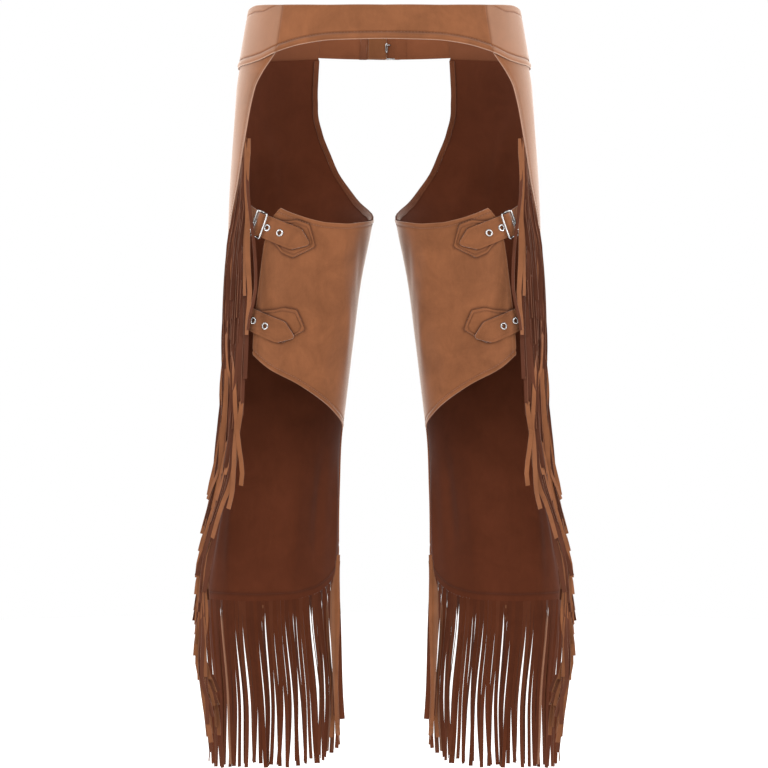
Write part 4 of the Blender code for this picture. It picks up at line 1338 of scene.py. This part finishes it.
# Strands that lie on top, one row each: where they start on the edge and how long they are,
# where they hang at the root and at the tip, which way the tan face looks at the root, half
# way and at the tip, their width, and how far the tip curls outwards.
TOP_STRANDS = table(
    "drop  length from_part to_part root half tip width curl",
    (0.170, 0.258, 0.00, -0.08, 74.0, 82.0, 40.0, 0.0068, 0.008),
    (0.172, 0.205, 0.06, -0.01, 60.0, 88.0, 70.0, 0.0040, 0.004),
    (0.176, 0.246, -0.06, -0.13, -60.0, -80.0, -60.0, 0.0040, 0.009),
    (0.330, 0.190, 0.56, 0.66, 60.0, 84.0, 70.0, 0.0052, 0.000),
    (0.372, 0.130, 0.52, 0.30, 60.0, 40.0, 80.0, 0.0036, -0.007),
    (0.405, 0.235, 0.80, 0.62, 40.0, 85.0, 75.0, 0.0066, 0.004),
    (0.400, 0.225, 0.30, 0.02, -60.0, 70.0, 90.0, 0.0058, -0.004),
    (0.425, 0.232, 0.42, 0.46, 60.0, 80.0, 96.0, 0.0068, 0.003),
    (0.455, 0.238, 0.70, 0.86, 30.0, 70.0, 84.0, 0.0062, 0.006),
    (0.470, 0.226, 0.05, 0.22, 75.0, 88.0, 60.0, 0.0060, -0.006),
    (0.486, 0.170, 0.16, 0.06, 70.0, 84.0, 80.0, 0.0058, -0.004),
    (0.500, 0.250, 0.58, 0.40, 50.0, 84.0, 70.0, 0.0068, 0.004),
    (0.520, 0.232, 0.30, 0.62, 70.0, 60.0, 90.0, 0.0060, 0.003),
    (0.560, 0.236, 0.84, 0.95, -50.0, -80.0, -60.0, 0.0064, 0.005),
    (0.585, 0.230, 0.66, 0.84, 60.0, 86.0, 70.0, 0.0062, 0.006),
    (0.620, 0.235, 0.90, 0.62, 50.0, 70.0, 88.0, 0.0062, 0.003),
    (0.655, 0.232, 0.76, 0.55, 65.0, 84.0, 60.0, 0.0064, 0.006),
    (0.700, 0.232, 0.50, 0.70, 65.0, 84.0, 60.0, 0.0064, 0.004),
)


def side_strand(bm, dice, strand, layer, side, light, sway):
    """One strand of the side fringe, from a row of the table above or a row like it."""
    drop, length, from_part, to_part, root_turn, half_turn, tip_turn, width, curl = strand
    root = on_form(drop, panel_back_at(drop) + (0.6 if from_part > 0.0 else -3.0), -0.0012)
    phase, waves = dice.uniform(0.0, 6.28), dice.uniform(4.0, 8.0)
    curl -= CLOSE_IN * soft_step((drop - CLOSE_FROM) / CLOSE_RUN)

    def path(s):
        here = drop + length * s
        part = between(from_part, to_part, soft_step(s * 1.15 - 0.1))
        spot = fringe_place(here, part, layer)
        free = soft_step((s - 0.12) * 2.2)
        spot.x += sway * math.sin(waves * s + phase) * free + curl * soft_step((s - 0.76) * 4.0)
        spot.y -= 0.5 * sway * math.cos(waves * s + phase) * free
        hang = root.copy()
        hang.z = spot.z
        return hang.lerp(spot, soft_step(length * s / 0.055))

    turn_at = Curve((0.0, 0.5, 1.0), (root_turn, half_turn, tip_turn))

    def facing(s):
        return flat_way(turn_at(s))

    def width_at(s):
        return width * (0.55 + 0.45 * soft_step(length * s / 0.03))

    add_strand(bm, path, facing, width_at, side, light)


SIDE_FIRST, SIDE_LAST = 0.180, 0.750
SIDE_COUNT = 140


def side_fringe(side):
    """On the thigh nearly every strand shows its dark reverse; lower down about half do."""
    dice = random.Random(41)
    bm = marked_mesh()
    for number in range(SIDE_COUNT):
        drop = between(SIDE_FIRST, SIDE_LAST, number / (SIDE_COUNT - 1)) + dice.uniform(-0.002, 0.002)
        length = dice.uniform(0.205, 0.246) - 0.012 * soft_step((0.30 - drop) / 0.1)
        spread = soft_step((drop - 0.17) / 0.06)
        lowest = 0.22 * soft_step((drop - 0.28) / 0.08)
        from_part = between(0.3, between(lowest, 0.94, dice.random()), spread)
        thigh = soft_step((0.40 - drop) / 0.06)
        dark = dice.random() < between(0.60, 0.98, thigh)
        half_turn = dice.uniform(-105.0, -50.0) if dark else dice.uniform(45.0, 100.0)
        root_turn = half_turn * dice.uniform(0.3, 0.9)
        tip_turn = half_turn + dice.uniform(-35.0, 35.0)
        to_part = min(0.95, max(lowest, from_part + dice.uniform(-0.16, 0.16)))
        width = STRAND_WIDTH * dice.uniform(0.82, 1.12)
        loose = 1.0 - 0.75 * thigh
        curl = dice.uniform(-0.006, 0.008) * loose
        strand = drop, length, from_part, to_part, root_turn, half_turn, tip_turn, width, curl
        # Strand tones mostly below 1: painted shade between the strands.
        side_strand(bm, dice, strand, dice.uniform(0.0, 0.75) * (1.0 if dark else loose), side,
                    dice.uniform(0.72, 1.02), dice.uniform(0.0008, 0.0044) * between(0.4, 1.0, loose))
    for strand in zip(*TOP_STRANDS.values()):
        side_strand(bm, dice, strand, 1.0, side, dice.uniform(0.90, 1.06), 0.0026)
    return bm


def header_point(across, down, layer):
    level = between(HEADER_TOP, HEADER_FOOT, down)
    front, back = panel_front_at(level), panel_back_at(level)
    turn = HEADER_WIDTH * angle_per_metre(level, back) / (front - back)
    drop, angle = panel_place(turn * across, part_down(level))
    height = -LAY - BINDING * (1 - layer) - 0.0004
    wave = 0.0003 * math.sin(260.0 * level)
    # Painted shade darkens the side that lies against the panel.
    return on_form(drop, angle, height + wave), 1.0 - 0.2 * layer


for word, side in SIDES:
    cloth(f"fringe_strip_{word}", 10, 150, header_point, fringe_suede,
          f"side_fringe_header_{word}", side, 0.0)
    strands = side_fringe(side)
    face_out(strands)
    put(strands, f"side_strands_{word}", fringe_suede, [f"side_fringe_{word}"])

# ------------------------------------------------------------------ hem fringe
# Below the hem's stitched line the suede is cut into strands of equal length, so their tips
# follow the hem. At the inner leg the hem rises in a round corner, and its strands turn
# their tan faces to the back.

HEM_LENGTH = 0.230
HEM_PITCH = 0.0054
HEM_FIRST, HEM_LAST = 86.8, 265.4
INNER_FROM = 246.0
hem_lean_at = Curve((86.0, 120.0, 170.0, 215.0, 245.0, 266.0),
                    (0.008, 0.010, 0.011, 0.010, 0.004, 0.001))
loose_at = Curve((86.0, 110.0, 150.0, 195.0, 210.0, 250.0), (0.30, 0.14, 0.10, 0.16, 0.62, 0.70))
# The last dark strands behind the turned ones: how far each tip leans to the inner side.
INNER_DARK = (-0.0050, -0.0020, 0.0012, 0.0032)
BEHIND_AT = 259.0


def hem_strand(bm, dice, angle, side, behind=None):
    hem = hem_edge_at(angle) + 0.0004
    length = HEM_LENGTH - 0.003 + dice.uniform(-0.007, 0.004)
    inner = soft_step((angle - INNER_FROM) / 8.0) if behind is None else 0.0
    loose = dice.random() < loose_at(angle)
    free = 1.0 if loose or angle > 205.0 else 0.45
    lean = hem_lean_at(angle) + free * dice.uniform(-0.0026, 0.0026)
    sway, phase = free * dice.uniform(0.0006, 0.0022), dice.uniform(0.0, 6.28)
    twist = dice.choice((-1.0, 1.0)) * (dice.uniform(38.0, 78.0) if loose else dice.uniform(1.0, 14.0))
    curl, flick = dice.uniform(-12.0, 12.0), dice.uniform(-0.005, 0.005)
    out = out_from(hem, angle)
    width = HEM_PITCH * dice.uniform(0.98, 1.16) * (1.0 - 0.24 * inner)
    root = on_form(hem, angle, 0.5 * PANEL + panel_fold(hem, angle))
    depth = dice.uniform(-0.003, 0.003)
    place_in_cluster = (angle - INNER_FROM) / (HEM_LAST - INNER_FROM)
    aside = between(0.0115, -0.0005, place_in_cluster) * inner
    if behind is not None:
        lean, aside, length = behind, 0.0020, length - 0.014 - 0.4 * behind

    def path(s):
        drift = soft_step(s * 2.0)
        spot = root.copy()
        spot.z -= length * s - 0.0008
        spot.x += aside * soft_step(s * 7.0) - lean * soft_step(s * 1.4) + flick * s**4
        spot.x += sway * math.sin(4.5 * s + phase) * drift
        spot.y += (depth + sway * math.cos(3.7 * s + phase)) * drift
        if behind is not None:
            spot.y += 0.007 * soft_step(s * 6.0)
        return spot + out * (0.0012 * drift * (1.0 - inner)) - Vector((0.0, 0.005 * inner * drift, 0.0))

    def facing(s):
        way = out.copy()
        turning = twist * soft_step(s * (7.0 if loose else 1.5)) + curl * s
        way.rotate(Matrix.Rotation(math.radians(turning), 3, "Z"))
        if behind is not None:
            return Vector((0.2, 1.0, 0.0)).normalized()
        return way.lerp(Vector((0.1, -1.0, 0.0)), 0.94 * inner * soft_step(s * 12.0 + 0.85))

    def width_at(s):
        return width * (1.0 - 0.05 * s)

    # Strand tones either side of 1: painted shade or painted highlight, so the strands read apart.
    add_strand(bm, path, facing, width_at, side, dice.choice((0.74, 0.86, 0.96, 1.0, 1.06, 1.14)))


def hem_fringe(side):
    dice = random.Random(7)
    bm = marked_mesh()
    angle = HEM_FIRST
    while angle < HEM_LAST:
        hem_strand(bm, dice, angle, side)
        angle += HEM_PITCH * angle_per_metre(0.79, angle)
    for behind in INNER_DARK:
        hem_strand(bm, dice, BEHIND_AT, side, behind)
    return bm


for word, side in SIDES:
    strands = hem_fringe(side)
    face_out(strands)
    put(strands, f"hem_strands_{word}", hem_suede, [f"hem_fringe_{word}"])

# ------------------------------------------------------------------ stitching
# Polyester thread in a lockstitch of about 3.5 mm, sunk in its line, along the band, the
# wraps, the panels' edges and the hem: tan on the face, and brown inside the hem.

STITCH = 0.0026
THREAD = 0.00032


def twisted_thread(name, dark, pale):
    """Polyester thread with the fine light and dark of its twist."""
    material, shader, place = new_material(name, Sheen_Weight=0.2)
    ply = place.node("ShaderNodeTexNoise", {}, {"Vector": place, "Scale": 2400.0, "Detail": 2.0})
    links = material.node_tree.links
    links.new(ply.mix(dark, pale).socket, shader.inputs["Base Color"])
    links.new((0.6 + 0.3 * ply).socket, shader.inputs["Roughness"])
    return material


tan_thread = twisted_thread("tan_thread", (0.11, 0.037, 0.015, 1.0), (0.20, 0.076, 0.032, 1.0))
brown_thread = twisted_thread("brown_thread", (0.05, 0.014, 0.006, 1.0), (0.085, 0.024, 0.01, 1.0))

stitch_blank = bmesh.new()
bmesh.ops.create_cone(stitch_blank, cap_ends=True, segments=6, radius1=0.55, radius2=0.55, depth=1.0)
bmesh.ops.subdivide_edges(
    stitch_blank, edges=[e for e in stitch_blank.edges
                         if abs(e.verts[0].co.z - e.verts[1].co.z) > 0.5], cuts=3)
for vertex in stitch_blank.verts:
    taper = math.sqrt(max(0.05, 1.0 - (2.0 * vertex.co.z) ** 2 * 0.95))
    vertex.co.x *= taper
    vertex.co.y *= taper
stitch_mesh = mesh_from(stitch_blank, "stitch_blank")


def sew(bm, place, count, side=1):
    """A row of stitches: place(part, height) is a point of the line, standing off the cloth."""
    for number in range(count):
        part = (number + 0.5) / count
        middle, above = place(part, 0.0), place(part, 0.001)
        step = 0.3 / count
        along = (place(min(1.0, part + step), 0.0) - place(max(0.0, part - step), 0.0)).normalized()
        out = (above - middle).normalized()
        across = along.cross(out)
        before = len(bm.verts)
        bm.from_mesh(stitch_mesh)
        bm.verts.ensure_lookup_table()
        for vertex in bm.verts[before:]:
            x, y, z = vertex.co
            arch = 0.0001 - 0.0004 * (2.0 * z) ** 2
            vertex.co = middle + along * z * STITCH + across * x * THREAD * 2 + out * (
                y * THREAD * 2 + arch)
            vertex.co.x *= side


def band_line(gap, from_top, start, end, height):
    def place(part, off):
        turn = between(start, end, part)
        drop = band_top_at(turn) + top_stitch_at(turn) if from_top else band_edge_at(turn) - gap
        return on_form(drop, turn, height + off)
    return place


def stitches(side):
    bm = bmesh.new()
    face = PANEL + LAY + BAND - 0.0008
    foot = band_line(BAND_FOOT_STITCH, False, 0.5, FRONT_SEAM - 1.0, face)
    top = band_line(0.0, True, BACK_SEAM + 8.0, FRONT_SEAM - 1.0, face + 0.0003)
    sew(bm, foot, 112, side)
    sew(bm, top, 76, side)

    def wrap_line(gap, from_top):
        def place(part, off):
            angle = between(WRAP_SEAM + 1.0, wrap_outer_at(0.27 if from_top else 0.452) - 1.5, part)
            drop = wrap_top_at(angle) + gap if from_top else wrap_foot_at(angle) - gap
            return on_form(drop, angle, PANEL - 0.0003 + off)
        return place

    sew(bm, wrap_line(TOP_STITCH, True), 50, side)
    sew(bm, wrap_line(FOOT_STITCH, False), 56, side)

    def panel_line(gap, front):
        def place(part, off):
            level = between(0.10, 0.76, part) if not front else between(0.085, 0.262, part)
            edge = panel_front_at(level) if front else panel_back_at(level)
            turn = gap * angle_per_metre(level, edge) * (-1.0 if front else 1.0)
            return on_form(level, edge + turn, PANEL - 0.0002 + off)
        return place

    sew(bm, panel_line(EDGE_STITCH, False), 184, side)
    sew(bm, panel_line(EDGE_STITCH, True), 70, side)

    def hem_line(part, off):
        angle = between(87.0, 264.5, part)
        drop = hem_edge_at(angle) - HEM_STITCH
        return on_form(drop, angle, PANEL - 0.0002 + panel_fold(drop, angle) + off)

    sew(bm, hem_line, 96, side)

    return bm


def hem_back(part, off):
    angle = between(87.0, 264.5, part)
    drop = hem_edge_at(angle) - HEM_STITCH
    return on_form(drop, angle, 0.0008 + panel_fold(drop, angle) - off)


for word, side in SIDES:
    rows = stitches(side)
    face_out(rows)
    put(rows, f"stitches_{word}", tan_thread, [])
    row_inside = bmesh.new()
    sew(row_inside, hem_back, 96, side)
    face_out(row_inside)
    put(row_inside, f"hem_stitches_{word}", brown_thread, [])

# ------------------------------------------------------------------ studio
# A pale floor below the hanging fringe, white surroundings, one wide soft light from behind
# the wearer's back and one at each side.

FLOOR_GAP = 0.05
white, white_shader, _ = new_material("pale_floor", Roughness=0.9, Base_Color=(0.93, 0.93, 0.93, 1.0),
                                      Emission_Color=(1.0, 1.0, 1.0, 1.0), Emission_Strength=0.3)
floor_bm = bmesh.new()
bmesh.ops.create_circle(floor_bm, cap_ends=True, segments=96, radius=2.6)
bmesh.ops.translate(floor_bm, verts=floor_bm.verts[:], vec=(0.0, 0.0, cad_box[0].z - FLOOR_GAP))
floor = new_object("floor", mesh_from(floor_bm, "floor"))
floor.data.materials.append(white)

world = bpy.data.worlds.new("white_room")
world.use_nodes = True
world.node_tree.nodes["Background"].inputs["Color"].default_value = (1.0, 1.0, 1.0, 1.0)
world.node_tree.nodes["Background"].inputs["Strength"].default_value = 1.0
bpy.context.scene.world = world
bpy.context.scene.view_settings.view_transform = "Standard"


def soft_light(name, place, aim, width, height, power):
    lamp = bpy.data.lights.new(name, "AREA")
    lamp.shape, lamp.size, lamp.size_y, lamp.energy = "RECTANGLE", width, height, power
    holder = new_object(name, lamp)
    holder.location = place
    holder.rotation_euler = (Vector(aim) - Vector(place)).to_track_quat("-Z", "Y").to_euler()


soft_light("back_light", (0.0, -2.4, 0.7), (0.0, 0.0, -0.45), 1.6, 1.2, 35.0)
soft_light("right_light", (1.7, -0.5, -0.1), (0.15, 0.0, -0.4), 0.6, 1.6, 25.0)
soft_light("left_light", (-1.7, -0.5, -0.1), (-0.15, 0.0, -0.4), 0.6, 1.6, 25.0)

CAMERA_BACK = 3.0
CAMERA_HEIGHT = -0.462
FRAME_WIDTH = 1.029
SENSOR = 36.0
AXIS_SHIFT = -0.00048
lens = bpy.data.cameras.new("camera")
lens.sensor_width = SENSOR
lens.lens = SENSOR * CAMERA_BACK / FRAME_WIDTH
lens.shift_x = AXIS_SHIFT
camera = new_object("camera", lens)
camera.location = (0.0, -CAMERA_BACK, CAMERA_HEIGHT)
camera.rotation_euler = (math.pi / 2.0, 0.0, 0.0)
bpy.context.scene.camera = camera
